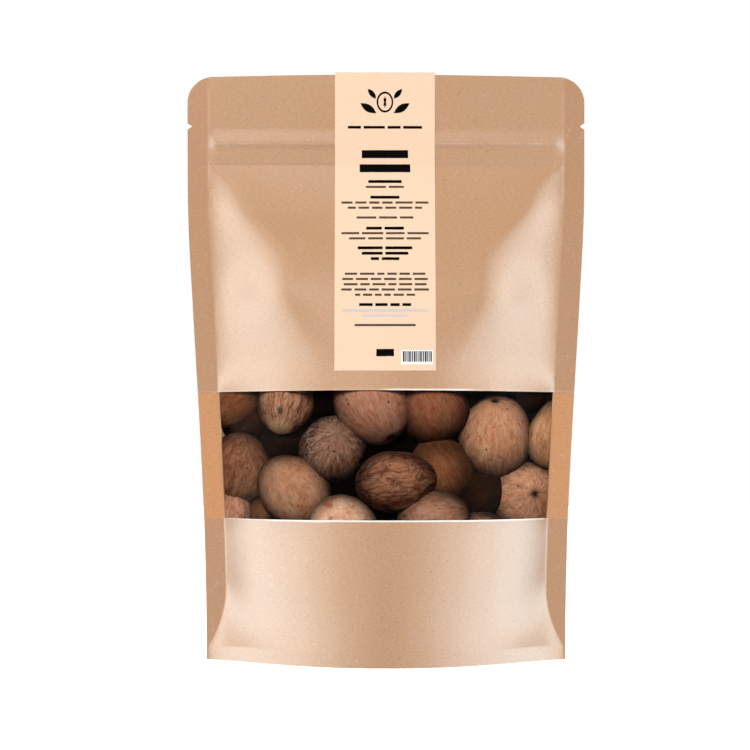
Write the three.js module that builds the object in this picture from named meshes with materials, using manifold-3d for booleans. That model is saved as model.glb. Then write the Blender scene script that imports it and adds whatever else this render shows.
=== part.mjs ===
// A stand-up pouch of whole nutmegs: a kraft paper pouch with a pressed zip line, a gusset base and
// a clear strip across its front, a paper label, and the nutmegs that lie behind the strip.
// Millimetres, +Z up. The pouch stands on the rim of its base at z = 0, its front faces -Y, and the
// origin is midway between the side seals and between front and back.

import * as THREE from "three";
import { mergeVertices } from "three/addons/utils/BufferGeometryUtils.js";
import Module from "manifold-3d";

// The pouch. A filled pouch narrows as it bulges, because its panels keep their width.
const FLAT_WIDTH = 110;
const WIDTH_LOST = 5.3; // from each side, where the bulge is full
const HEIGHT = 161.2;
const TOP_CROWN = 0.7; // how far the top edge rises in its middle
const LAYER = 0.6; // thickness of one panel
const BASE_BULGE = 19.2; // how far each panel stands out at the base
const BULGE_TOP = 137; // the bulge begins below the zip
const BULGE_POWER = 0.85; // shape of the bulge down to the base
const BULGE_START = 100; // the bulge begins at an even slope, which turns into that shape here
const TOP_WAVE = 1.4; // how far the flat top bows forward
const FULL_ROUNDNESS = 2.2; // power in the section where the pouch is full
const BASE_DRAW = 0.4; // how much the ends of the section are drawn out at the base
const BASE_HIGH = 25; // and up to where
const WINDOW_FILL = 0.18; // how much its ends are filled where nutmegs press on the window
const WINDOW_RISE = [34, 46]; // the heights between which that sets in, and goes again
const WINDOW_FALL = [66, 80];
const UPPER_DRAW = 0.36; // how much its ends are drawn out above the window
const UPPER_RISE = [72, 84];
const FACET_SLOPE = 0.44; // of the facets along the seals above the window
const FACET_EASE = 0.16; // they are this much less steep from each of these two rises on
const FACET_EASE_FIRST = [94, 115];
const FACET_EASE_SECOND = [122, 136];
const FACET_POWER = 0.9;
const FLAT_LOW = 76; // the full section turns into the flat one between these heights
const FLAT_HIGH = 106;
const CORNER_RADIUS = 7;
const NOTCH_HEIGHT = 147.7;
const NOTCH_RADIUS = 0.8;

// The side seals, which turn into the round of the panel near the base.
const SEAL_WIDTH = 5.7;
const SEAL_LEAST = 0.4;
const SEAL_TURN_TOP = 21;
const SEAL_TURN_LOW = 3.7;
const SEAL_INSET = 2; // a lens inside the pouch is drawn in this much more at the seals

// The zip under the paper: a raised band with one ridge and one groove.
const ZIP_LOW = 137.6;
const ZIP_HIGH = 145.7;
const ZIP_RAISE = 0.45;
const ZIP_RIDGE = { height: 142.8, raise: 0.35, half: 0.6 };
const ZIP_GROOVE = { height: 140.6, raise: -0.25, half: 0.6 };
const ZIP_EDGE = 0.7; // height of the band's sloping edges

// The gusset, which arches over the rim from front to back and rises towards the side seals.
const RIM_BAND = 3;
const FOLD_MIDDLE = 9;
const FOLD_END = 24;
const GUSSET_LAYER = 0.9;

// The window, a strip of film from side to side. Its edges crown in the middle.
const WINDOW_LOW = 38.6;
const WINDOW_HIGH = 73.6;
const WINDOW_LOW_CROWN = 0.8;
const WINDOW_HIGH_CROWN = 1.1;
const FILM = 0.3;
const GAP = 0.3; // between pieces that touch

// The label, stuck on the front over the zip and just past the top edge.
const LABEL_WIDTH = 27.6;
const LABEL_CENTRE = -0.3;
const LABEL_LOW = 80;
const LABEL_HIGH = 162.5;
const LABEL_THICKNESS = 0.25;

// The contents.
const FILL_HEIGHT = 86;
const CONTENTS_CLEARANCE = 0.6;
const FULL_HALF_WIDTH = 41; // nutmegs keep their own shape this far from the middle
const CORE_SETBACK = 10.5; // behind the film, where the nutmegs stand in front of the core
const NUT_SIDES = 14;
const NUT_RINGS = 9;
const NUT_EGG = 0.1; // how much blunter one end of a nutmeg is

const PANEL_STEPS = 9; // columns of faces from the middle of a panel to its seal
const BULGE_STEPS = 17; // rows of faces below the zip
const GUSSET_STEPS = 3; // rows of faces from the rim to the fold

const wasm = await Module();
wasm.setup();

const clamp = THREE.MathUtils.clamp;
const smoothstep = THREE.MathUtils.smoothstep;

// How far a panel stands out at its middle, at this height.
function bulge(z) {
  const down = clamp((BULGE_TOP - z) / BULGE_TOP, 0, 1);
  const power = BULGE_POWER + (1 - BULGE_POWER) * smoothstep(z, BULGE_START, BULGE_TOP);
  return BASE_BULGE * Math.sin((Math.PI / 2) * down ** power);
}

function halfWidth(z) {
  return FLAT_WIDTH / 2 - WIDTH_LOST * (bulge(z) / BASE_BULGE) ** 2;
}

function sealWidth(z) {
  const turn = clamp((SEAL_TURN_TOP - z) / (SEAL_TURN_TOP - SEAL_TURN_LOW), 0, 1);
  return SEAL_LEAST + (SEAL_WIDTH - SEAL_LEAST) * (1 - turn * turn);
}

function innerHalfWidth(z) {
  return halfWidth(z) - sealWidth(z);
}

// The section of a panel, from 1 at its middle to 0 at its seals. It has drawn-out ends at the
// base and above the window, and fuller ones where nutmegs press on the window. Under the zip it
// is flat in its middle, and a facet along each seal curves in to it.
function section(share, z) {
  const apart = 1 - Math.min(1, Math.abs(share));
  const pressed = smoothstep(z, ...WINDOW_RISE) * (1 - smoothstep(z, ...WINDOW_FALL));
  const drawn = BASE_DRAW * (1 - smoothstep(z, 0, BASE_HIGH)) + UPPER_DRAW * smoothstep(z, ...UPPER_RISE);
  const full = (1 - (1 - apart) ** FULL_ROUNDNESS) ** (1 + drawn - WINDOW_FILL * pressed);
  const eased = smoothstep(z, ...FACET_EASE_FIRST) + smoothstep(z, ...FACET_EASE_SECOND);
  const slope = FACET_SLOPE - FACET_EASE * eased;
  const steepness = (slope * innerHalfWidth(z)) / Math.max(bulge(z), 0.1);
  const flat = smoothstep(Math.min(1, steepness * apart) ** FACET_POWER, 0, 1);
  const flatness = smoothstep(z, FLAT_LOW, FLAT_HIGH);
  return full + (flat - full) * flatness;
}

// How far the cavity reaches from the middle plane, at this place.
function halfGap(x, z) {
  return bulge(z) * section(x / innerHalfWidth(z), z);
}

// The middle plane, which bows forward at the open end of the pouch.
function middle(x, z) {
  const across = clamp((x + 12) / (FLAT_WIDTH / 2), -1, 1);
  return -TOP_WAVE * Math.cos((Math.PI / 2) * across) * smoothstep(z, BULGE_TOP - 15, HEIGHT);
}

function bump(z, { height, raise, half }) {
  return raise * Math.max(0, 1 - Math.abs(z - height) / half);
}

// The zip's relief, which dies out at the side seals.
function zipRelief(x, z) {
  const band = ZIP_RAISE * smoothstep(z, ZIP_LOW - ZIP_EDGE, ZIP_LOW) *
    (1 - smoothstep(z, ZIP_HIGH, ZIP_HIGH + ZIP_EDGE));
  const ends = 1 - smoothstep(Math.abs(x), innerHalfWidth(z) - 3, innerHalfWidth(z));
  return (band + bump(z, ZIP_RIDGE) + bump(z, ZIP_GROOVE)) * ends;
}

function standOut(x, z) {
  return LAYER + halfGap(x, z) + zipRelief(x, z);
}

function frontFace(x, z) {
  return middle(x, z) - standOut(x, z);
}

function backFace(x, z) {
  return middle(x, z) + standOut(x, z);
}

// A geometry as a manifold-3d solid, turned the right way out.
function solid(geometry) {
  const bare = new THREE.BufferGeometry();
  bare.setAttribute("position", geometry.getAttribute("position"));
  bare.setIndex(geometry.getIndex());
  const merged = mergeVertices(bare, 1e-4);
  const index = merged.getIndex().array;
  const triVerts = [];
  for (let i = 0; i < index.length; i += 3) {
    const [a, b, c] = index.slice(i, i + 3);
    if (a !== b && b !== c && c !== a) triVerts.push(a, b, c);
  }
  const build = (triangles) =>
    new wasm.Manifold(
      new wasm.Mesh({
        numProp: 3,
        vertProperties: new Float32Array(merged.getAttribute("position").array),
        triVerts: new Uint32Array(triangles),
      }),
    );
  const made = build(triVerts);
  return made.volume() < 0 ? build(triVerts.reverse()) : made;
}

function geometryOf(manifold) {
  const mesh = manifold.getMesh();
  const positions = new Float32Array(mesh.numVert * 3);
  for (let i = 0; i < mesh.numVert; i += 1) {
    const from = i * mesh.numProp;
    positions.set(mesh.vertProperties.subarray(from, from + 3), i * 3);
  }
  const geometry = new THREE.BufferGeometry();
  geometry.setAttribute("position", new THREE.BufferAttribute(positions, 3));
  geometry.setIndex(new THREE.BufferAttribute(new Uint32Array(mesh.triVerts), 1));
  geometry.computeVertexNormals();
  return geometry;
}

// The closed solid between two grids of points, near(i, j) and far(i, j), with i up to
// columns and j up to rows.
function solidBetween(near, far, columns, rows) {
  const points = [];
  const faces = [];
  const wide = columns + 1;
  const side = wide * (rows + 1);
  for (const grid of [near, far]) {
    for (let j = 0; j <= rows; j += 1) {
      for (let i = 0; i <= columns; i += 1) points.push(...grid(i, j));
    }
  }
  const quad = (a, b, c, d) => faces.push(a, b, c, a, c, d);
  for (let j = 0; j < rows; j += 1) {
    for (let i = 0; i < columns; i += 1) {
      const a = j * wide + i;
      quad(a, a + 1, a + 1 + wide, a + wide);
      quad(side + a, side + a + wide, side + a + 1 + wide, side + a + 1);
    }
    const left = j * wide;
    const right = left + columns;
    quad(left, left + wide, side + left + wide, side + left);
    quad(right, side + right, side + right + wide, right + wide);
  }
  for (let i = 0; i < columns; i += 1) {
    const top = rows * wide + i;
    quad(i, side + i, side + i + 1, i + 1);
    quad(top, top + 1, side + top + 1, side + top);
  }
  const geometry = new THREE.BufferGeometry();
  geometry.setAttribute("position", new THREE.Float32BufferAttribute(points, 3));
  geometry.setIndex(faces);
  return solid(geometry);
}

// Shares of a panel's width from -1 to 1, closer together towards the seals.
function panelColumns(steps) {
  const shares = [];
  for (let k = -steps; k <= steps; k += 1) shares.push(Math.sin(((Math.PI / 2) * k) / steps));
  return shares;
}

const COLUMNS = panelColumns(PANEL_STEPS);

function pouchColumn(i, z) {
  if (i === 0) return -halfWidth(z);
  if (i === COLUMNS.length + 1) return halfWidth(z);
  return COLUMNS[i - 1] * innerHalfWidth(z);
}

const BULGE_ROWS = [];
for (let k = 0; k <= BULGE_STEPS; k += 1) BULGE_ROWS.push((BULGE_TOP * k) / BULGE_STEPS);

function pouchRows() {
  const rows = [...BULGE_ROWS, ZIP_LOW];
  for (const { height, half } of [ZIP_GROOVE, ZIP_RIDGE]) {
    rows.push(height - half, height, height + half);
  }
  rows.push(ZIP_HIGH, ZIP_HIGH + ZIP_EDGE, (ZIP_HIGH + HEIGHT) / 2, HEIGHT);
  return rows;
}

function crown(x) {
  return Math.cos((Math.PI / 2) * clamp(x / (FLAT_WIDTH / 2), -1, 1));
}

// The whole outside of the pouch as a block with a flat underside.
function pouchBlock() {
  const rows = pouchRows();
  const at = (face) => (i, j) => {
    const x = pouchColumn(i, rows[j]);
    const rise = j === rows.length - 1 ? TOP_CROWN * crown(x) : 0;
    return [x, face(x, rows[j]), rows[j] + rise];
  };
  return solidBetween(at(frontFace), at(backFace), COLUMNS.length + 1, rows.length - 1);
}

// A lens that follows the cavity up to the height of the last row, drawn in from its walls by
// inset. The front can be set back by a further amount that depends on the height.
function cavityLens(inset, rows, setback = () => 0) {
  const at = (sign) => (i, j) => {
    const z = rows[j];
    const share = COLUMNS[i];
    const reach = Math.max(0, bulge(z) - inset) * section(share, z);
    const x = share * (innerHalfWidth(z) - inset * SEAL_INSET);
    const back = sign < 0 ? Math.min(setback(z), 1.8 * reach) : 0;
    return [x, middle(x, z) + sign * reach + back, z];
  };
  return solidBetween(at(-1), at(1), COLUMNS.length - 1, rows.length - 1);
}

// The height of the gusset's underside. across is 0 on the fold and 1 at the rim.
function gussetHeight(x, across) {
  const fold = FOLD_MIDDLE + (FOLD_END - FOLD_MIDDLE) * Math.abs(x / innerHalfWidth(0)) ** 2.5;
  return RIM_BAND + (fold - RIM_BAND) * (1 - Math.min(1, Math.abs(across)) ** 1.5);
}

// Everything below the gusset, raised by lift, as far as the panels and past them.
function belowGusset(lift) {
  const rows = [-2, -1];
  for (let k = 1 - GUSSET_STEPS; k < GUSSET_STEPS; k += 1) rows.push(k / GUSSET_STEPS);
  rows.push(1, 2);
  const at = (top) => (i, j) => {
    const x = 1.05 * COLUMNS[i] * innerHalfWidth(0);
    const y = rows[j] * Math.max(2, halfGap(x, 0));
    return [x, y, top ? gussetHeight(x, rows[j]) + lift : -5];
  };
  return solidBetween(at(false), at(true), COLUMNS.length - 1, rows.length - 1);
}

// A shape drawn in x and z, run through the pouch from y = near to y = far.
function prism(shape, near, far) {
  const geometry = new THREE.ExtrudeGeometry(shape, {
    depth: far - near,
    bevelEnabled: false,
    curveSegments: 6,
  });
  geometry.rotateX(Math.PI / 2);
  geometry.translate(0, far, 0);
  return solid(geometry);
}

// What is cut away outside one rounded top corner; side is -1 or 1.
function cornerCut(side) {
  const inner = FLAT_WIDTH / 2 - CORNER_RADIUS;
  const shape = new THREE.Shape();
  shape.moveTo(inner, HEIGHT + 2);
  shape.lineTo(inner, HEIGHT + TOP_CROWN * crown(inner));
  shape.absarc(inner, HEIGHT - CORNER_RADIUS, CORNER_RADIUS, Math.PI / 2, 0, true);
  shape.lineTo(inner + 2 * CORNER_RADIUS, HEIGHT - CORNER_RADIUS);
  shape.lineTo(inner + 2 * CORNER_RADIUS, HEIGHT + 2);
  const cut = prism(shape, -6, 6);
  return side < 0 ? cut.mirror([1, 0, 0]) : cut;
}

function tearNotch(side) {
  const notch = new THREE.CylinderGeometry(NOTCH_RADIUS, NOTCH_RADIUS, 12, 12);
  notch.translate(side * (FLAT_WIDTH / 2 - NOTCH_RADIUS / 2), 0, NOTCH_HEIGHT);
  return solid(notch);
}

function windowCut() {
  const reach = FLAT_WIDTH / 2 + 5;
  const shape = new THREE.Shape();
  shape.moveTo(-reach, WINDOW_LOW);
  shape.quadraticCurveTo(0, WINDOW_LOW + 2 * WINDOW_LOW_CROWN, reach, WINDOW_LOW);
  shape.lineTo(reach, WINDOW_HIGH);
  shape.quadraticCurveTo(0, WINDOW_HIGH + 2 * WINDOW_HIGH_CROWN, -reach, WINDOW_HIGH);
  return prism(shape, -BASE_BULGE - 5, 0);
}

function kraftPouch() {
  const hollow = cavityLens(LAYER, [-LAYER, ...BULGE_ROWS]).intersect(belowGusset(0));
  const cavity = cavityLens(0, BULGE_ROWS).subtract(belowGusset(GUSSET_LAYER));
  let pouch = pouchBlock().subtract(hollow).subtract(cavity).subtract(windowCut());
  for (const side of [-1, 1]) pouch = pouch.subtract(cornerCut(side)).subtract(tearNotch(side));
  return geometryOf(pouch);
}

// A sheet that lies off the front of the pouch by offset, and is this thick.
function frontSheet(offset, thickness, columns, place, rows) {
  const at = (depth) => (i, j) => {
    const [x, z] = place(i, j);
    return [x, frontFace(x, Math.min(z, HEIGHT)) + depth, z];
  };
  return geometryOf(solidBetween(at(offset), at(offset + thickness), columns, rows));
}

function windowFilm() {
  const rows = 6;
  return frontSheet(0, FILM, COLUMNS.length + 1, (i, j) => {
    const up = j / rows;
    const level = WINDOW_LOW + (WINDOW_HIGH - WINDOW_LOW) * up;
    const x = pouchColumn(i, level);
    const arch = 1 - (x / (FLAT_WIDTH / 2 + 5)) ** 2;
    const low = WINDOW_LOW + WINDOW_LOW_CROWN * arch + GAP;
    const high = WINDOW_HIGH + WINDOW_HIGH_CROWN * arch - GAP;
    return [x, low + (high - low) * up];
  }, rows);
}

function paperLabel() {
  const heights = pouchRows().filter((z) => z > LABEL_LOW + 2 && z < HEIGHT);
  const rows = [LABEL_LOW, ...heights, HEIGHT, LABEL_HIGH];
  const columns = 6;
  const offset = -GAP - LABEL_THICKNESS;
  return frontSheet(offset, LABEL_THICKNESS, columns, (i, j) => {
    return [LABEL_CENTRE + LABEL_WIDTH * (i / columns - 0.5), rows[j]];
  }, rows.length - 1);
}

// The nutmegs that show. x and z are the middle, length and width the size, tilt the angle of the
// long axis from upright as seen from the front, nod how far that axis tips towards the front, in
// degrees, and deep how far the nutmeg lies behind the film.
const NUTMEGS = [
  { x: -43.8, z: 73.6, length: 19.5, width: 18, tilt: 60, nod: 10, deep: 0 },
  { x: -27.6, z: 72, length: 22, width: 16.6, tilt: 191, nod: 40, deep: 0 },
  { x: -14.6, z: 58.6, length: 21, width: 18.4, tilt: 20, nod: 65, deep: 2 },
  { x: -3.4, z: 70.8, length: 23.8, width: 22, tilt: 153, nod: 28, deep: 0 },
  { x: -41.2, z: 52.8, length: 20.5, width: 19, tilt: 10, nod: 15, deep: 0.5 },
  { x: -25.5, z: 46.8, length: 22.6, width: 19, tilt: -45, nod: 10, deep: 0 },
  { x: -44.2, z: 40.3, length: 15.5, width: 14.5, tilt: 15, nod: 10, deep: 0 },
  { x: -12.2, z: 37.2, length: 19.5, width: 17.5, tilt: 80, nod: 10, deep: 0 },
  { x: 3, z: 49.6, length: 23.2, width: 17, tilt: 84, nod: 5, deep: 0.5 },
  { x: 12.6, z: 70.2, length: 21, width: 19.8, tilt: -20, nod: 30, deep: 1.5 },
  { x: 15, z: 52.6, length: 20, width: 18, tilt: -25, nod: 10, deep: 5 },
  { x: 30.3, z: 62, length: 24.6, width: 20.6, tilt: -2, nod: 33, deep: 0 },
  { x: 46.7, z: 62.1, length: 19.8, width: 15, tilt: 5, nod: 0, deep: 0 },
  { x: 39.4, z: 44.9, length: 20.4, width: 19.6, tilt: 56, nod: 78, deep: 0 },
  { x: 13, z: 38.4, length: 20.4, width: 18, tilt: 75, nod: 10, deep: 0 },
  { x: 25.4, z: 35.4, length: 14, width: 12, tilt: 60, nod: 0, deep: 1 },
  { x: 26.2, z: 46, length: 16, width: 14, tilt: 40, nod: 0, deep: 7 },
  { x: 40, z: 76, length: 18, width: 15, tilt: 70, nod: 0, deep: 3 },
  { x: 23.5, z: 75.5, length: 17, width: 14, tilt: 10, nod: 0, deep: 7 },
  { x: -15.8, z: 74.5, length: 17, width: 14, tilt: -10, nod: 0, deep: 7 },
  { x: -38, z: 66, length: 16, width: 14, tilt: 75, nod: 0, deep: 4 },
  { x: -34.5, z: 40.6, length: 12, width: 10, tilt: 30, nod: 0, deep: 4 },
  { x: -28, z: 60, length: 18, width: 15, tilt: 70, nod: 0, deep: 7 },
];

// Every nutmeg is an egg that lies against the film, or deeper. Near a seal the pouch is shallow,
// so a nutmeg there is thinner, and it is cut to the room between the panels.
function nutmeg({ x, z, length, width, tilt, nod, deep }) {
  const geometry = new THREE.SphereGeometry(1, NUT_SIDES, NUT_RINGS);
  const position = geometry.getAttribute("position");
  const point = new THREE.Vector3();
  const turn = new THREE.Euler(
    THREE.MathUtils.degToRad(nod), THREE.MathUtils.degToRad(tilt), 0, "YXZ");
  const room = halfGap(clamp(x, -FULL_HALF_WIDTH, FULL_HALF_WIDTH), z) - CONTENTS_CLEARANCE;
  const thin = Math.min(1, (2 * room) / width);
  let depth = -Infinity;
  for (let i = 0; i < position.count; i += 1) {
    point.fromBufferAttribute(position, i);
    const egg = 1 - NUT_EGG * point.y;
    point.set((point.x * egg * width) / 2, (point.z * egg * width) / 2, (point.y * length) / 2);
    point.applyEuler(turn);
    point.y *= thin;
    const film = -halfGap(x + point.x, z + point.z) + CONTENTS_CLEARANCE;
    if (Math.abs(x + point.x) < FULL_HALF_WIDTH) depth = Math.max(depth, film - point.y);
    position.setXYZ(i, x + point.x, point.y, z + point.z);
  }
  geometry.translate(0, depth + deep * thin, 0);
  return solid(geometry);
}

// The largest closed surface: scraps are dropped, and hollows that the joining sealed are filled.
function wholePiece(manifold) {
  const surfaces = manifold.decompose();
  return surfaces.reduce((best, next) => (next.volume() > best.volume() ? next : best));
}

function contents() {
  const behindWindow = (z) =>
    CORE_SETBACK * smoothstep(z, WINDOW_LOW - 8, WINDOW_LOW - 3) *
    (1 - smoothstep(z, WINDOW_HIGH + 4, WINDOW_HIGH + 9));
  const rows = [...BULGE_ROWS.filter((z) => z < FILL_HEIGHT), FILL_HEIGHT];
  const room = cavityLens(CONTENTS_CLEARANCE, rows);
  const core = cavityLens(CONTENTS_CLEARANCE, rows, behindWindow);
  const floor = belowGusset(GUSSET_LAYER + CONTENTS_CLEARANCE);
  const heap = wasm.Manifold.union([core, ...NUTMEGS.map(nutmeg)]);
  return geometryOf(wholePiece(heap.intersect(room).subtract(floor)));
}

const KRAFT = new THREE.MeshStandardMaterial({ color: 0xcba27e, roughness: 0.5 });
const FILM_CLEAR = new THREE.MeshStandardMaterial({
  color: 0xf4f1ea,
  roughness: 0.1,
  transparent: true,
  opacity: 0.2,
});
const LABEL_PAPER = new THREE.MeshStandardMaterial({ color: 0xffe0bf, roughness: 0.6 });
const NUTMEG_SHELL = new THREE.MeshStandardMaterial({ color: 0x9e6f50, roughness: 0.7 });

const pack = new THREE.Group();
const pieces = [
  ["kraft_pouch", kraftPouch(), KRAFT],
  ["window_film", windowFilm(), FILM_CLEAR],
  ["paper_label", paperLabel(), LABEL_PAPER],
  ["nutmegs", contents(), NUTMEG_SHELL],
];
for (const [name, geometry, material] of pieces) {
  const mesh = new THREE.Mesh(geometry, material);
  mesh.name = name;
  pack.add(mesh);
}

export default pack;
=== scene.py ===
"""A stand-up pouch of whole nutmegs: kraft paper panels with a zip line, a gusset and sealed sides,
a clear strip across the front, a paper label with plain bars for its print, and the nutmegs behind
the strip. Shapes are worked out in millimetres and put into the meshes in metres."""

import math
from collections import namedtuple

import bpy
import numpy as np
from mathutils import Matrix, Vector


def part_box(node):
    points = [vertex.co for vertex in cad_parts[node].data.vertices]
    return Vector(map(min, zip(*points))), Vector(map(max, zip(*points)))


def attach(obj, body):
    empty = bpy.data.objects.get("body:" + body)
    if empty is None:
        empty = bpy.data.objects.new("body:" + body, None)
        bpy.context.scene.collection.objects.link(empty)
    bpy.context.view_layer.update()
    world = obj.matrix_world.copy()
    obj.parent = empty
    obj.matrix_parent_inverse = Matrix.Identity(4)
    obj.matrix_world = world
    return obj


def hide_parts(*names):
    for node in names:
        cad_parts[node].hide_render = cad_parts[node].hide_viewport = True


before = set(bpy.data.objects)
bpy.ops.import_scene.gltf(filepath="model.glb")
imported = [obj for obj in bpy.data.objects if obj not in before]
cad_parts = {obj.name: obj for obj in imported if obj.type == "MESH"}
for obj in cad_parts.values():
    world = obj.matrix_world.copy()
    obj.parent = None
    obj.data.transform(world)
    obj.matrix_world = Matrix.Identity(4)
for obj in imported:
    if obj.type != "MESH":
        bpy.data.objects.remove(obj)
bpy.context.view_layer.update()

bl_info = {
    "name": "Nutmeg pouch",
    "version": (1, 0, 0),
    "blender": (4, 5, 0),
    "location": "View3D > Sidebar > Nutmeg pouch",
    "description": "Builds a kraft paper pouch of whole nutmegs with its studio",
    "category": "Add Mesh",
}

MM = 0.001
POUCH_LOW, POUCH_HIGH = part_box("kraft_pouch")
FILM_LOW, FILM_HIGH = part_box("window_film")
LABEL_LOW, LABEL_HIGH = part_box("paper_label")
_, HEAP_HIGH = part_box("nutmegs")

# The solids draw each layer thicker than it is, and leave a gap round the film. The top edge rises
# a little in its middle.
CAD_LAYER = 0.6
TOP_CROWN = 0.7
FILM_GAP = 0.3

# The window's edges crown in the middle, on a parabola that falls to nothing at WINDOW_REACH.
WINDOW_CROWN = {"low": 0.8, "high": 1.1}
WINDOW_REACH = 60.0

# The filled pouch. WIDTH_LOST is what each side loses where the bulge is full. The bulge begins at
# BULGE_TOP, and from BULGE_START down it has the shape that BULGE_POWER gives it. The top end bows
# forward by TOP_WAVE, most at WAVE_PEAK left of the middle.
WIDTH_LOST = 5.3
BULGE_TOP = 137.0
BULGE_POWER, BULGE_START = 0.85, 100.0
TOP_WAVE, WAVE_PEAK = 1.4, 12.0
CORNER_RADIUS = 7.0
NOTCH_HEIGHT, NOTCH_DEPTH, NOTCH_HALF = 147.7, 1.25, 0.8
SEAL_LEAST, SEAL_TURN_TOP, SEAL_TURN_LOW = 0.4, 21.0, 3.7

# The section of a panel: how much its ends are drawn out or filled, and the heights between which
# each of these sets in or goes.
FULL_ROUNDNESS = 2.2
BASE_DRAW, BASE_HIGH = 0.4, 25.0
WINDOW_FILL, WINDOW_RISE, WINDOW_FALL = 0.18, (34.0, 46.0), (66.0, 80.0)
UPPER_DRAW, UPPER_RISE = 0.36, (72.0, 84.0)
FACET_SLOPE, FACET_POWER = 0.44, 0.9
FACET_EASE, FACET_EASE_FIRST, FACET_EASE_SECOND = 0.16, (94.0, 115.0), (122.0, 136.0)
FLAT_RISE = (76.0, 106.0)

# The zip from its foot up: heights, and how far the paper stands out there. ZIP_ROUNDING is how
# much its corners are rounded, and over ZIP_END it dies out at each seal.
ZIP_PROFILE = (
    (136.9, 0.0), (137.6, 0.17), (141.3, 0.15), (142.8, 0.5), (143.2, 0.5), (145.8, 0.14), (147.0, 0.0)
)
ZIP_ROUNDING = 0.3
ZIP_END = 2.6

# The noise's table of random values, and the large primes that pick one for each lattice corner.
NOISE_VALUES = 4096
NOISE_PRIMES = (73856093, 19349663, 83492791)

# How much a panel's columns crowd together at the seals, from 0 to 1.
CROWDING = 0.65

# Edges that turn by more than this many degrees stay sharp.
SHARP_EDGE = 55.0


# --- shape of the pouch ---------------------------------------------------------------------


def smoothstep(value, low, high):
    """0 below low, 1 above high, and a smooth rise 3t^2 - 2t^3 between them."""
    t = np.clip((value - low) / (high - low), 0.0, 1.0)
    return t * t * (3.0 - 2.0 * t)


def hump(value, centre, width):
    """A bell of height 1 round centre: e to the minus square of the distance over width."""
    return np.exp(-(((value - centre) / width) ** 2))


def lattice_noise(points, seed):
    """Smooth noise from 0 to 1 in three dimensions, one cell to each unit: a random value at every
    lattice corner, blended between the eight corners round a point."""
    table = np.random.default_rng(seed).random(NOISE_VALUES)
    cell = np.floor(points).astype(np.int64)
    part = points - cell
    part = part * part * (3.0 - 2.0 * part)
    total = np.zeros(points.shape[:-1])
    for corner in np.ndindex(2, 2, 2):
        step = np.array(corner)
        weight = np.prod(np.where(step == 1, part, 1.0 - part), axis=-1)
        place = cell + step
        mixed = place * np.array(NOISE_PRIMES)
        key = mixed[..., 0] ^ mixed[..., 1] ^ mixed[..., 2]
        total += weight * table[key % NOISE_VALUES]
    return total


def ripple(x, z, size, seed):
    """Gentle unevenness from -1 to 1 over a panel, with bumps about size across."""
    points = np.stack([x / size, z / size, np.full_like(x, 0.5)], axis=-1)
    return 2.0 * lattice_noise(points, seed) - 1.0


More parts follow.
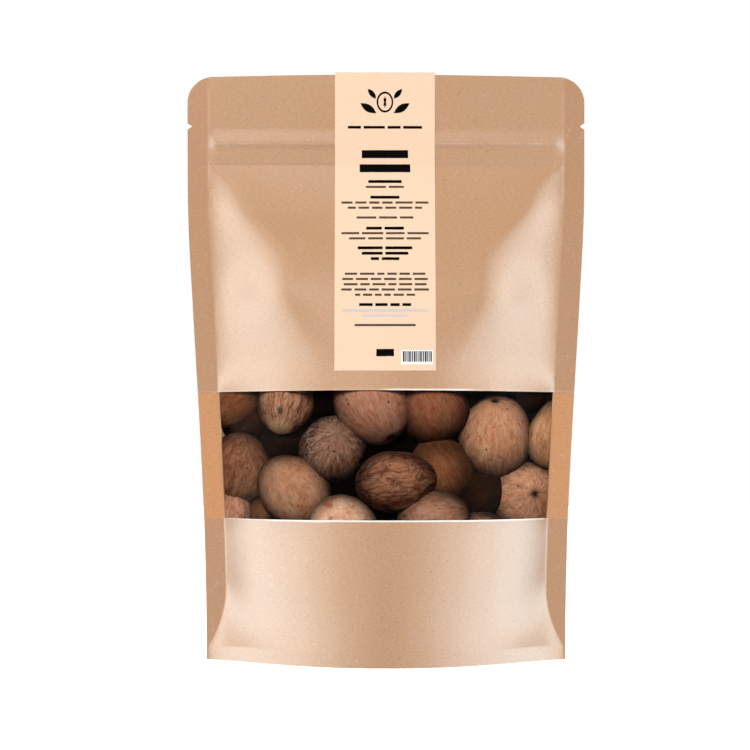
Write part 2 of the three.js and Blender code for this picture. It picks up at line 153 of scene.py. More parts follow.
class PouchForm:
    """The filled pouch as functions of x and z in millimetres, front at minus y.

    Each panel stands out from the middle plane by half_gap: the bulge at this height times a
    section that is 1 in the middle of the panel and 0 at its seals."""

    def __init__(self, sizes):
        self.flat_half = sizes.flat_width / MM / 2
        self.height = sizes.height / MM
        self.base_bulge = sizes.base_bulge / MM
        self.layer = sizes.layer / MM
        self.seal = sizes.seal_width / MM
        self.window_low = sizes.window_low / MM
        self.window_high = sizes.window_high / MM

    def bulge(self, z):
        """A quarter sine wave from the zip down to the base, drawn out a little in its middle."""
        down = np.clip((BULGE_TOP - z) / BULGE_TOP, 0.0, 1.0)
        power = BULGE_POWER + (1.0 - BULGE_POWER) * smoothstep(z, BULGE_START, BULGE_TOP)
        return self.base_bulge * np.sin(np.pi / 2 * down**power)

    def half_width(self, z):
        """Half the flat width, less what the bulge takes up."""
        return self.flat_half - WIDTH_LOST * (self.bulge(z) / self.base_bulge) ** 2

    def seal_width(self, z):
        """The side seal, whose inner edge turns out to the side edge on a parabola near the base."""
        turn = np.clip((SEAL_TURN_TOP - z) / (SEAL_TURN_TOP - SEAL_TURN_LOW), 0.0, 1.0)
        return SEAL_LEAST + (self.seal - SEAL_LEAST) * (1.0 - turn * turn)

    def inner(self, z):
        """Half the width between the side seals."""
        return self.half_width(z) - self.seal_width(z)

    def section(self, share, z):
        """1 in the middle of a panel and 0 at its seals. Where the pouch is full it is
        (1 - share^r)^q with r the roundness: q draws the ends out at the base and above the window,
        and fills them where nutmegs press on the window. Under the zip the panel is flat in its
        middle and curves in to each seal along an S: a smoothstep of t to the facet's power, where
        t is k (1 - share) inner / bulge. The slope k falls towards the zip."""
        apart = 1.0 - np.minimum(1.0, np.abs(share))
        pressed_out = smoothstep(z, *WINDOW_RISE) * (1.0 - smoothstep(z, *WINDOW_FALL))
        ends = 1.0 + BASE_DRAW * (1.0 - smoothstep(z, 0.0, BASE_HIGH)) - WINDOW_FILL * pressed_out
        ends += UPPER_DRAW * smoothstep(z, *UPPER_RISE)
        full = (1.0 - (1.0 - apart) ** FULL_ROUNDNESS) ** ends
        slope = FACET_SLOPE - FACET_EASE * smoothstep(z, *FACET_EASE_FIRST)
        slope = slope - FACET_EASE * smoothstep(z, *FACET_EASE_SECOND)
        steepness = slope * self.inner(z) / np.maximum(self.bulge(z), 0.1)
        flat = smoothstep(np.minimum(1.0, steepness * apart) ** FACET_POWER, 0.0, 1.0)
        return full + (flat - full) * smoothstep(z, *FLAT_RISE)

    def half_gap(self, x, z):
        """How far a panel is from the middle plane here."""
        return self.bulge(z) * self.section(x / self.inner(z), z)

    def middle(self, x, z):
        """The middle plane, which bows forward at the open end."""
        across = np.clip((x + WAVE_PEAK) / self.flat_half, -1.0, 1.0)
        return -TOP_WAVE * np.cos(np.pi / 2 * across) * smoothstep(z, BULGE_TOP - 15, self.height)

    def zip_relief(self, x, z):
        """The zip under the paper as a profile over z: a flange that leans out to a ridge, a hollow
        below it, a flat band and a step at its foot. Each height is the mean of three nearby, which
        rounds the profile. It is crushed flat at the side seals."""
        heights, reliefs = zip(*ZIP_PROFILE)
        nearby = (-ZIP_ROUNDING, 0.0, ZIP_ROUNDING)
        relief = sum(np.interp(z + off, heights, reliefs) for off in nearby) / 3
        return relief * smoothstep(self.inner(z) - np.abs(x), 0.0, ZIP_END)

    def creases(self, x, z, side):
        """Unevenness of a panel: broad dents, the step where the open layers part beside each
        seal, crumples at the zip's ends, fine crinkles where the panel turns into its facets, and
        upright puckers along the zip, but not under the label. side is -1 for the front and 1 for
        the back."""
        seed = 11 if side < 0 else 29
        from_seal = self.inner(z) - np.abs(x)
        dents = 0.2 * ripple(x, z, 21.0, seed) + 0.06 * ripple(x, z, 8.0, seed + 1)
        dents *= smoothstep(from_seal, 0.0, 8.0) * (0.3 + 0.7 * smoothstep(z, 4.0, 30.0))
        parted = 0.05 * smoothstep(from_seal, -0.1, 0.5) * smoothstep(z, 116.0, 132.0)
        crumple = 0.07 * ripple(x, z, 1.4, seed + 2) * hump(from_seal, -1.5, 2.6) * hump(z, 141.8, 2.4)
        crinkle = 0.05 * ripple(x, z, 1.2, seed + 3) * hump(from_seal, 1.6, 1.8) * hump(z, 130.0, 6.0)
        along_seal = 0.03 * ripple(x * 2.0, z, 2.5, seed + 4) * hump(from_seal, 0.5, 1.2)
        loose = 1.0 if side > 0 else smoothstep(np.abs(x), 14.0, 17.0)
        puckers = 0.04 * ripple(x, z * 0.3, 2.4, seed + 5) * hump(z, 141.0, 3.5) * loose
        return dents + parted + crumple + crinkle + along_seal + puckers

    def stand_out(self, x, z, side):
        """How far a panel's outside stands off the middle plane."""
        return self.layer + self.half_gap(x, z) + self.zip_relief(x, z) + self.creases(x, z, side)

    def front(self, x, z):
        """y of the front panel's outside."""
        return self.middle(x, z) - self.stand_out(x, z, -1)

    def back(self, x, z):
        """y of the back panel's outside."""
        return self.middle(x, z) + self.stand_out(x, z, 1)

    def outline(self, z):
        """Half the width of the cut sheet: rounded top corners and a tear notch at each side."""
        up = np.clip(z - (self.height - CORNER_RADIUS), 0.0, CORNER_RADIUS)
        rounded = CORNER_RADIUS - np.sqrt(CORNER_RADIUS**2 - up**2)
        notch = NOTCH_DEPTH * np.clip(1.0 - np.abs(z - NOTCH_HEIGHT) / NOTCH_HALF, 0.0, 1.0) ** 0.7
        return self.half_width(z) - rounded - notch

    def window_edge(self, x, end):
        """Height of the window's lower or upper edge, which crowns in the middle."""
        level = self.window_low if end == "low" else self.window_high
        return level + WINDOW_CROWN[end] * (1.0 - (x / WINDOW_REACH) ** 2)

    def columns(self, z, inside=150, seal=14):
        """x of every column of a sheet on the rows z. A column lies on each seal's inner edge, and
        they are closer together there than in the middle."""
        z = z[:, None]
        wide, inner = self.half_width(z), self.inner(z)
        left = -wide + (wide - inner) * np.linspace(0.0, 1.0, seal, endpoint=False)
        even = np.linspace(-1.0, 1.0, inside + 1)
        across = inner * ((1.0 - CROWDING) * even + CROWDING * np.sin(np.pi / 2 * even))
        x = np.concatenate([left, across, -left[:, ::-1]], axis=1)
        return x * self.outline(z) / wide


def rows(*stops):
    """Heights from stop to stop, each pair of stops with a spacing between them."""
    parts = []
    for low, spacing, high in zip(stops[0::2], stops[1::2], stops[2::2]):
        count = max(1, round((high - low) / spacing))
        parts.append(np.linspace(low, high, count, endpoint=False))
    return np.concatenate([*parts, [stops[-1]]])


# --- meshes ---------------------------------------------------------------------------------


def make_object(name, points, faces, material, uv=None, attributes=None, sharp=None):
    """A mesh object from points in millimetres and faces as arrays of four or three corners."""
    mesh = bpy.data.meshes.new(name)
    corners = np.concatenate([f.ravel() for f in faces]).astype(np.int32)
    sizes = np.concatenate([np.full(len(f), f.shape[1]) for f in faces])
    starts = np.concatenate([[0], np.cumsum(sizes)[:-1]]).astype(np.int32)
    mesh.vertices.add(len(points))
    mesh.vertices.foreach_set("co", (points * MM).astype(np.float32).ravel())
    mesh.loops.add(len(corners))
    mesh.loops.foreach_set("vertex_index", corners)
    mesh.polygons.add(len(sizes))
    mesh.polygons.foreach_set("loop_start", starts)
    mesh.update(calc_edges=True)
    mesh.polygons.foreach_set("use_smooth", np.ones(len(sizes), bool))
    if uv is not None:
        layer = mesh.uv_layers.new(name="flat")
        layer.data.foreach_set("uv", (uv[corners] * MM).astype(np.float32).ravel())
    for key, values in (attributes or {}).items():
        kind, field = ("FLOAT", "value") if values.ndim == 1 else ("FLOAT_VECTOR", "vector")
        layer = mesh.attributes.new(key, kind, "POINT")
        layer.data.foreach_set(field, values.astype(np.float32).ravel())
    if sharp:
        mesh.set_sharp_from_angle(angle=math.radians(sharp))
    mesh.materials.append(material)
    mesh.validate()
    made = bpy.data.objects.new(name, mesh)
    bpy.context.scene.collection.objects.link(made)
    return made


def grid_faces(wide, tall, first=0):
    """Quads of a grid of points, whose normals point along columns times rows."""
    corner = np.arange(wide * tall).reshape(tall, wide)[:-1, :-1] + first
    return np.stack([corner, corner + 1, corner + 1 + wide, corner + wide], -1).reshape(-1, 4)


def rim_faces(wide, tall):
    """Quads that close the gap between a grid and its copy behind it, along all four edges."""
    index = np.arange(wide * tall).reshape(tall, wide)
    behind = wide * tall
    strips = []
    for line, turned in ((index[0], 0), (index[-1], 1), (index[:, 0], 1), (index[:, -1], 0)):
        a, b = line[:-1], line[1:]
        quad = [a, a + behind, b + behind, b]
        strips.append(np.stack(quad[::-1] if turned else quad, -1))
    return np.concatenate(strips)


def sheet(name, outer, thickness, material, attributes=None):
    """A closed sheet: the outer grid, its copy moved inwards along the normals by the thickness,
    and a rim between them. Its flat coordinates are the distance along each row, and the height."""
    tall, wide, _ = outer.shape
    along, up = np.gradient(outer, axis=1), np.gradient(outer, axis=0)
    normal = np.cross(along, up)
    normal /= np.linalg.norm(normal, axis=-1, keepdims=True)
    points = np.concatenate([outer.reshape(-1, 3), (outer - normal * thickness).reshape(-1, 3)])
    step = np.linalg.norm(np.diff(outer, axis=1), axis=-1)
    distance = np.concatenate([np.zeros((tall, 1)), np.cumsum(step, axis=1)], axis=1)
    distance -= distance[:, wide // 2, None]
    flat = np.stack([distance, outer[..., 2]], -1).reshape(-1, 2)
    faces = [grid_faces(wide, tall), grid_faces(wide, tall, wide * tall)[:, ::-1], rim_faces(wide, tall)]
    doubled = {k: np.tile(v.reshape(-1), 2) for k, v in (attributes or {}).items()}
    return make_object(name, points, faces, material, np.tile(flat, (2, 1)), doubled, sharp=SHARP_EDGE)


# --- materials ------------------------------------------------------------------------------


def linear(colour):
    """An sRGB hex value such as #CBA27E as linear red, green, blue and alpha."""
    value = np.array([int(colour[i : i + 2], 16) for i in (1, 3, 5)]) / 255.0
    curved = np.where(value <= 0.04045, value / 12.92, ((value + 0.055) / 1.055) ** 2.4)
    return (*curved, 1.0)


def shade(colour, scale, white=0.0):
    """A linear colour made darker or lighter by scale, and then blended towards white."""
    rgb = np.clip(np.array(colour[:3]) * scale, 0.0, 1.0) * (1.0 - white) + white
    return (*rgb, 1.0)


def add(tree, kind, sockets=None, **settings):
    """Adds a node with these settings. A socket takes a value, or another node's output."""
    node = tree.nodes.new(kind)
    for key, value in settings.items():
        setattr(node, key, value)
    for key, value in (sockets or {}).items():
        if isinstance(value, bpy.types.NodeSocket):
            tree.links.new(value, node.inputs[key])
        else:
            node.inputs[key].default_value = value
    return node


def start_material(name):
    """An empty material with its node tree."""
    material = bpy.data.materials.new(name)
    material.use_nodes = True
    material.node_tree.nodes.clear()
    return material, material.node_tree


# Patterns on the paper, in metres: for each lay of fibres its turn in degrees, length and width,
# and how far apart the clouds of pulp, the specks and the long curls are. Real fibres are far
# thinner, and are drawn this wide so that they show.
FIBRES = ((18.0, 0.0010, 0.00045), (-41.0, 0.0009, 0.00045), (79.0, 0.0010, 0.00045))
CLOUD_SIZE = 0.0045
SPECK_SPACING = 0.0042
CURL_SIZE = 0.0024


def kraft_material(name, colour, rough, coat_rough):
    """Unbleached kraft paper laminated under clear film. Short fibres that lie every way make a
    fine faint mottle with some long pale curls, the pulp is cloudy, and bark specks and bleached
    shives make dark and a few pale dots. The film over it gives a satin sheen. A pale line runs beside
    each seal, painted highlights lie on the zip's ridge, flange and ends, and the paper's cut edge is
    white."""
    material, tree = start_material(name)
    flat = add(tree, "ShaderNodeUVMap", uv_map="flat").outputs[0]
    fibre = None
    for turn, long, across in FIBRES:
        turned_by = (0.0, 0.0, math.radians(turn))
        place = add(
            tree, "ShaderNodeMapping",
            {"Vector": flat, "Rotation": turned_by, "Scale": (1 / long, 1 / across, 1.0)},
        ).outputs[0]
        lay = add(
            tree, "ShaderNodeTexNoise", {"Vector": place, "Scale": 1.0, "Detail": 3.0, "Roughness": 0.6},
            noise_dimensions="2D",
        ).outputs[0]
        if fibre:
            lay = add(tree, "ShaderNodeMath", {0: fibre, 1: lay}, operation="ADD").outputs[0]
        fibre = lay
    cloud = add(
        tree, "ShaderNodeTexNoise",
        {"Vector": flat, "Scale": 1 / CLOUD_SIZE, "Detail": 4.0, "Roughness": 0.6}, noise_dimensions="2D",
    ).outputs[0]
    specks = add(
        tree, "ShaderNodeTexVoronoi", {"Vector": flat, "Scale": 1 / SPECK_SPACING, "Randomness": 1.0},
        voronoi_dimensions="2D",
    )
    which = add(tree, "ShaderNodeSeparateColor", {0: specks.outputs["Color"]}).outputs[0]
    curls = add(
        tree, "ShaderNodeTexNoise",
        {"Vector": flat, "Scale": 1 / CURL_SIZE, "Detail": 1.0, "Roughness": 0.5, "Distortion": 1.5},
        noise_dimensions="2D",
    ).outputs[0]
    centred = add(tree, "ShaderNodeMath", {0: curls, 1: 0.5}, operation="SUBTRACT").outputs[0]
    from_curl = add(tree, "ShaderNodeMath", {0: centred}, operation="ABSOLUTE").outputs[0]
    share = {}
    for key, value, low, high, most in (
        ("fibre", fibre, 1.15, 1.85, 1.0), ("cloud", cloud, 0.3, 0.7, 0.6),
        ("speck", specks.outputs["Distance"], 0.05, 0.03, 1.0),
        ("is_dark", which, 0.45, 0.8, 1.0), ("is_pale", which, 0.12, 0.0, 1.0),
        ("curl", from_curl, 0.018, 0.0, 0.8), ("sparse", cloud, 0.48, 0.6, 1.0),
    ):
        share[key] = add(tree, "ShaderNodeMapRange", {0: value, 1: low, 2: high, 4: most}).outputs[0]
    for key, first, second in (
        ("dark_speck", "speck", "is_dark"), ("pale_speck", "speck", "is_pale"),
        ("few_curls", "curl", "sparse"),
    ):
        both = {0: share[first], 1: share[second]}
        share[key] = add(tree, "ShaderNodeMath", both, operation="MULTIPLY").outputs[0]
    for key in ("pressed", "wear_and_highlight", "cut"):
        share[key] = add(tree, "ShaderNodeAttribute", attribute_name=key).outputs["Fac"]
    blend = shade(colour, 0.87)
    # The pale layer for wear also paints the highlights on the zip.
    for key, over, way in (
        ("fibre", shade(colour, 1.1), "MIX"), ("cloud", shade(colour, 0.95), "MIX"),
        ("pressed", linear("#F5EFE8"), "MULTIPLY"), ("few_curls", shade(colour, 1.0, 0.1), "MIX"),
        ("dark_speck", shade(colour, 0.5), "MIX"), ("pale_speck", shade(colour, 1.0, 0.15), "MIX"),
        ("wear_and_highlight", shade(colour, 1.0, 0.3), "MIX"), ("cut", linear("#FFF8F0"), "MIX"),
    ):
        laid = {0: share[key], 6: blend, 7: over}
        blend = add(tree, "ShaderNodeMix", laid, data_type="RGBA", blend_type=way).outputs[2]
    bump = add(tree, "ShaderNodeBump", {"Strength": 0.35, "Distance": 0.00004, "Height": fibre})
    coat_bump = add(tree, "ShaderNodeBump", {"Strength": 0.3, "Distance": 0.00003, "Height": cloud})
    shader = add(
        tree, "ShaderNodeBsdfPrincipled",
        {
            "Base Color": blend, "Roughness": rough, "Specular IOR Level": 0.25,
            "Normal": bump.outputs[0],
            "Coat Weight": 1.0, "Coat Roughness": coat_rough, "Coat IOR": 1.8,
            "Coat Normal": coat_bump.outputs[0],
        },
    )
    add(tree, "ShaderNodeOutputMaterial", {"Surface": shader.outputs[0]})
    return material


def film_material():
    """Clear laminate film, cast and smooth: nearly invisible, with a faint gloss."""
    material, tree = start_material("clear_laminate_film")
    shader = add(
        tree, "ShaderNodeBsdfPrincipled",
        {"Base Color": linear("#1A1817"), "Roughness": 0.15, "IOR": 1.4, "Alpha": 0.02},
    )
    add(tree, "ShaderNodeOutputMaterial", {"Surface": shader.outputs[0]})
    return material


# The real tooth of the paper is finer than this, and would not show.
TOOTH_SIZE = 0.0005


def paper_material(name, colour, gloss):
    """Matte paper, or print on it: one even colour with a fine tooth, half a millimetre apart, that
    breaks up its sheen."""
    material, tree = start_material(name)
    place = add(tree, "ShaderNodeTexCoord").outputs["Object"]
    pattern = {"Vector": place, "Scale": 1 / TOOTH_SIZE, "Detail": 3.0}
    tooth = add(tree, "ShaderNodeTexNoise", pattern).outputs[0]
    bump = add(tree, "ShaderNodeBump", {"Strength": 0.3, "Distance": 0.00002, "Height": tooth})
    laid = {0: tooth, 6: shade(colour, 0.97), 7: shade(colour, 1.03)}
    tinted = add(tree, "ShaderNodeMix", laid, data_type="RGBA").outputs[2]
    shader = add(
        tree, "ShaderNodeBsdfPrincipled",
        {"Base Color": tinted, "Roughness": 0.6, "Specular IOR Level": gloss, "Normal": bump.outputs[0]},
    )
    add(tree, "ShaderNodeOutputMaterial", {"Surface": shader.outputs[0]})
    return material


def crossing_lines(tree, place, size, stretch, width):
    """A net of thin lines from 0 to 1, about size millimetres apart and stretch times as long:
    they run where smooth noise crosses its middle value, and fade out at width from it."""
    shaped = add(
        tree, "ShaderNodeMapping",
        {"Vector": place, "Scale": (1.0 / size, 1.0 / size, 1.0 / (size * stretch))},
    ).outputs[0]
    noise = add(
        tree, "ShaderNodeTexNoise",
        {"Vector": shaped, "Scale": 1.0, "Detail": 2.5, "Roughness": 0.5, "Distortion": 0.5},
    ).outputs[0]
    centred = add(tree, "ShaderNodeMath", {0: noise, 1: 0.5}, operation="SUBTRACT").outputs[0]
    off = add(tree, "ShaderNodeMath", {0: centred}, operation="ABSOLUTE").outputs[0]
    return add(tree, "ShaderNodeMapRange", {0: off, 1: width, 2: 0.0}).outputs[0]


# Patterns on the shell, as repeats in each millimetre: streaks 1.25 mm wide, mottle of 1.8 mm,
# blotches of 6 mm, and pits 2 mm apart. STREAK_STRETCH draws the streaks out about four times.
STREAKS, MOTTLE, BLOTCHES, PITS = 0.8, 0.55, 0.17, 0.5
STREAK_STRETCH = 0.24

# The two nets of lines: size in millimetres, how much they are drawn out, and how wide a line is.
DARK_NET = (2.4, 2.4, 0.04)
PALE_NET = (1.3, 2.8, 0.07)


def nutmeg_material():
    """The dry hard shell of a nutmeg: dusty, without gloss, each in its own brown, over which painted
    light and shade lie. Its skin is mottled and drawn out from end to end, with dark furrows, pale
    ridge lines painted only on the side where the light falls, small dark pits and reddish
    blotches, a dark spot at one end and a pale cap on some."""
    material, tree = start_material("dry_nutmeg_shell")
    # The per-point colour read here already holds painted light and shade, made in nutmeg().
    place, lengthwise, skin, shaded_tint, furrow, eye, hilum = (
        add(tree, "ShaderNodeAttribute", attribute_name=key).outputs[output]
        for key, output in (
            ("seed_place", "Vector"), ("lengthwise", "Vector"), ("skin", "Vector"),
            ("shaded_tint", "Color"), ("furrow", "Fac"), ("eye", "Fac"), ("hilum", "Fac"),
        )
    )
    wrinkled, lit_side_net, streaked = add(tree, "ShaderNodeSeparateXYZ", {0: skin}).outputs
    stretch = {"Vector": lengthwise, "Scale": (1.0, 1.0, STREAK_STRETCH)}
    drawn = add(tree, "ShaderNodeMapping", stretch).outputs[0]
    streak, mottle, blotch = (
        add(
            tree, "ShaderNodeTexNoise",
            {
                "Vector": vector, "Scale": repeats, "Detail": detail,
                "Roughness": rough, "Distortion": distortion,
            },
        ).outputs[0]
        for vector, repeats, detail, rough, distortion in (
            (drawn, STREAKS, 4.0, 0.6, 1.0), (place, MOTTLE, 6.0, 0.7, 0.8),
            (place, BLOTCHES, 3.0, 0.6, 0.0),
        )
    )
    dots = add(tree, "ShaderNodeTexVoronoi", {"Vector": place, "Scale": PITS, "Randomness": 1.0})
    which = add(tree, "ShaderNodeSeparateColor", {0: dots.outputs["Color"]}).outputs[0]
    share = {
        "wrinkled": wrinkled, "lit_side_net": lit_side_net, "streaked": streaked, "hilum": hilum, "eye": eye,
        "dark_net": crossing_lines(tree, lengthwise, *DARK_NET),
        "pale_net": crossing_lines(tree, lengthwise, *PALE_NET),
    }
    for key, value, low, high, most in (
        ("streak", streak, 0.34, 0.66, 0.9), ("mottle", mottle, 0.38, 0.62, 1.0),
        ("blotch", blotch, 0.44, 0.62, 0.35), ("dot", dots.outputs["Distance"], 0.2, 0.08, 1.0),
        ("which", which, 0.6, 0.8, 0.8), ("furrow", furrow, 0.2, 0.9, 0.8),
        ("patch", blotch, 0.38, 0.56, 1.0),
    ):
        share[key] = add(tree, "ShaderNodeMapRange", {0: value, 1: low, 2: high, 4: most}).outputs[0]
    # The pale lines carry a painted highlight: they show only where the light falls on each nutmeg.
    for key, first, second in (
        ("dark_lines", "dark_net", "wrinkled"), ("patchy", "lit_side_net", "patch"),
        ("pale_lines", "pale_net", "patchy"), ("streaks", "streak", "streaked"), ("pits", "dot", "which"),
    ):
        both = {0: share[first], 1: share[second]}
        share[key] = add(tree, "ShaderNodeMath", both, operation="MULTIPLY").outputs[0]
    dusty = add(tree, "ShaderNodeGamma", {"Color": shaded_tint, "Gamma": 0.8}).outputs[0]
    darken = {0: 1.0, 6: shaded_tint, 7: linear("#DCC6B8")}
    colour = add(tree, "ShaderNodeMix", darken, data_type="RGBA", blend_type="MULTIPLY").outputs[2]
    for key, over, way in (
        ("mottle", shaded_tint, "MIX"), ("streaks", dusty, "MIX"), ("blotch", linear("#F0C2A6"), "MULTIPLY"),
    ):
        laid = {0: share[key], 6: colour, 7: over}
        colour = add(tree, "ShaderNodeMix", laid, data_type="RGBA", blend_type=way).outputs[2]
    deepen = {0: 1.0, 6: colour, 7: linear("#80584A")}
    deep = add(tree, "ShaderNodeMix", deepen, data_type="RGBA", blend_type="MULTIPLY").outputs[2]
    whiten = {0: 0.6, 6: dusty, 7: linear("#C8AE9A")}
    ridge = add(tree, "ShaderNodeMix", whiten, data_type="RGBA").outputs[2]
    for key, over in (
        ("furrow", deep), ("dark_lines", deep), ("pale_lines", ridge), ("pits", deep),
        ("hilum", linear("#C49A70")), ("eye", linear("#241F20")),
    ):
        laid = {0: share[key], 6: colour, 7: over}
        colour = add(tree, "ShaderNodeMix", laid, data_type="RGBA").outputs[2]
    sunk = {0: share["dark_lines"], 1: share["pits"]}
    sunken = add(tree, "ShaderNodeMath", sunk, operation="ADD").outputs[0]
    risen = {0: share["pale_lines"], 1: sunken}
    raised = add(tree, "ShaderNodeMath", risen, operation="SUBTRACT").outputs[0]
    bump = None
    for height, strength, distance in ((raised, 0.9, 0.0004), (streak, 0.8, 0.0005), (mottle, 0.8, 0.0006)):
        sockets = {"Strength": strength, "Distance": distance, "Height": height}
        if bump:
            sockets["Normal"] = bump.outputs[0]
        bump = add(tree, "ShaderNodeBump", sockets)
    shader = add(
        tree, "ShaderNodeBsdfPrincipled",
        {"Base Color": colour, "Roughness": 0.65, "Specular IOR Level": 0.0, "Normal": bump.outputs[0]},
    )
    add(tree, "ShaderNodeOutputMaterial", {"Surface": shader.outputs[0]})
    return material


def shadow_material():
    """The depth of the heap between the nutmegs that show: painted shadow, so dark and dull that it looks
    black.
    """
    material, tree = start_material("painted_shadow_heap")
    shader = add(
        tree, "ShaderNodeBsdfPrincipled",
        {"Base Color": linear("#060302"), "Roughness": 1.0, "Specular IOR Level": 0.0},
    )
    add(tree, "ShaderNodeOutputMaterial", {"Surface": shader.outputs[0]})
    return material


# --- kraft panels ---------------------------------------------------------------------------


def panel_points(form, z, side, lift=None):
    """A panel's outside on the rows z, left to right for the front and right to left for the back,
    so that both face outwards. lift moves every point up by a function of x and z."""
    x = form.columns(z)
    z = np.broadcast_to(z[:, None], x.shape)
    if side > 0:
        x = x[:, ::-1]
    high = z + (lift(x, z) if lift else 0.0)
    y = form.front(x, high) if side < 0 else form.back(x, high)
    return np.stack([x, y, high], -1)


def top_rise(form, x, z):
    """The top edge rises a little in its middle."""
    across = np.clip(x / form.flat_half, -1.0, 1.0)
    return TOP_CROWN * np.cos(np.pi / 2 * across) * smoothstep(z, NOTCH_HEIGHT, form.height)


def wear_and_highlights_of(form, points):
    """Where the paper is paler: a pale line on the step beside each seal above the zip, and painted
    highlights on the zip's ends, its flange and its ridge."""
    x, z = np.abs(points[..., 0]), points[..., 2]
    beside_seal = 0.22 * hump(x, form.inner(z) - 0.1, 0.3) * smoothstep(z, 112.0, 130.0)
    # Painted highlights: the zip's crushed ends, its flange, which faces up to the light, and its ridge.
    zip_end_highlight = 0.5 * hump(x, form.inner(z) - 0.6, 0.8) * hump(z, 142.0, 1.6)
    inside = smoothstep(form.inner(z) - x, 0.4, 2.0)
    flange = 0.11 * smoothstep(z, 142.9, 143.7) * (1.0 - smoothstep(z, 145.6, 147.0)) * inside
    ridge = 0.42 * hump(z, 142.9, 0.22) * inside
    patchiness = 0.5 + 0.5 * ripple(points[..., 0], points[..., 2], 3.0, 51)
    lines = (beside_seal + zip_end_highlight + ridge) * 1.8 * patchiness**1.5
    return np.clip(lines + flange * (0.6 + 0.8 * patchiness), 0.0, 1.0)


def pressed_of(form, points):
    """1 on the heat-sealed sides, where the paper is a little darker, and 0 elsewhere."""
    x, z = np.abs(points[..., 0]), points[..., 2]
    return smoothstep(x, form.inner(z) - 0.3, form.inner(z) + 0.1)


def upper_rows(form):
    """Rows of the front panel above the window, close together at the zip, notch and corners."""
    round_top = form.height - CORNER_RADIUS * (1.0 - np.sin(np.linspace(0.0, np.pi / 2, 14)))
    low = rows(form.window_high, 0.3, 75.5, 0.75, 136.4, 0.22, 149.0, 0.8, round_top[0])
    return np.concatenate([low[:-1], round_top])


def front_upper(form, material):
    """The front panel from the window's upper edge to the top."""

    def lift(x, z):
        crown = form.window_edge(x, "high") - form.window_high
        return crown * (1.0 - smoothstep(z, form.window_high, 95.0)) + top_rise(form, x, z)

    points = panel_points(form, upper_rows(form), -1, lift)
    x, z = points[..., 0], points[..., 2]
    from_edge = z - form.window_edge(x, "high")
    bright = 0.12 + 0.88 * smoothstep(x, -3.0, 3.0) * (1.0 - smoothstep(x, 20.0, 27.0))
    cut = bright * (1.0 - smoothstep(from_edge, 0.2, 0.45))
    marks = {"wear_and_highlight": wear_and_highlights_of(form, points), "cut": cut, "pressed": pressed_of(form, points)}
    return sheet("kraft_front_upper", points, form.layer, material, marks)


def front_lower(form, material):
    """The front panel from the base to the window's lower edge."""

    def lift(x, z):
        crown = form.window_edge(x, "low") - form.window_low
        return crown * smoothstep(z, 20.0, form.window_low)

    z = rows(0.0, 0.5, 6.0, 0.7, 37.0, 0.25, form.window_low)
    points = panel_points(form, z, -1, lift)
    x, z = points[..., 0], points[..., 2]
    from_edge = form.window_edge(x, "low") - z
    uneven = 0.16 * ripple(x, np.zeros_like(z), 9.0, 5)
    width = 0.42 + uneven - 0.16 * smoothstep(np.abs(x - 4.0), 24.0, 40.0)
    cut = (1.0 - smoothstep(from_edge, width * 0.8, width * 1.2)) * (0.6 + 0.4 * hump(x, 4.0, 30.0))
    cut *= 1.0 - smoothstep(np.abs(x), form.inner(z) - 1.5, form.inner(z) - 0.5)
    marks = {"wear_and_highlight": wear_and_highlights_of(form, points), "cut": cut, "pressed": pressed_of(form, points)}
    return sheet("kraft_front_lower", points, form.layer, material, marks)


def back_panel(form, material):
    """The back panel, in one piece from the base to the top."""

    def lift(x, z):
        return top_rise(form, x, z)

    low = rows(0.0, 1.0, form.window_high)
    z = np.concatenate([low[:-1], upper_rows(form)[4:]])
    points = panel_points(form, z, 1, lift)
    marks = {"wear_and_highlight": wear_and_highlights_of(form, points), "pressed": pressed_of(form, points)}
    return sheet("kraft_back", points, form.layer, material, marks)


# The gusset starts RIM_BAND above the rim, its fold rises from the middle to the side seals, and
# its flaps go down to the rim at the rate of FLAP_DROP.
RIM_BAND = 3.0
FOLD_MIDDLE, FOLD_END = 9.0, 24.0
FLAP_DROP = 7.5


def gusset(form, material):
    """The gusset as seen from below: an arch from front to back whose fold rises towards the side
    seals, with a flap down each panel to the rim."""
    share = np.sin(np.linspace(-1.0, 1.0, 121) * np.pi / 2)[None, :]
    across = np.concatenate([[-1.4, -1.2], np.linspace(-1.0, 1.0, 61), [1.2, 1.4]])[:, None]
    held = np.clip(np.abs(across), 0.0, 1.0)
    fold = FOLD_MIDDLE + (FOLD_END - FOLD_MIDDLE) * np.abs(share) ** 2.5
    z = RIM_BAND + (fold - RIM_BAND) * (1.0 - held**1.5) - FLAP_DROP * (np.abs(across) - held)
    x = share * (form.inner(z) - 0.15)
    sag = 0.35 * ripple(x, np.broadcast_to(across * 12.0, x.shape), 9.0, 7) * (1.0 - held**2)
    z = z + sag
    wall = form.half_gap(x, z)
    wall = wall + form.creases(x, z, -1) * (across < 0) + form.creases(x, z, 1) * (across > 0)
    y = np.sign(across) * held * np.maximum(wall - 0.05, 0.0)
    points = np.stack([x, y, z], -1)[::-1]
    return sheet("kraft_gusset", points, form.layer, material)


# The strips of paper that show through the film over the side seals.
STRIP_LAYER, STRIP_OVERLAP, STRIP_INSET, STRIP_BEHIND = 0.02, 0.6, 0.05, 0.03


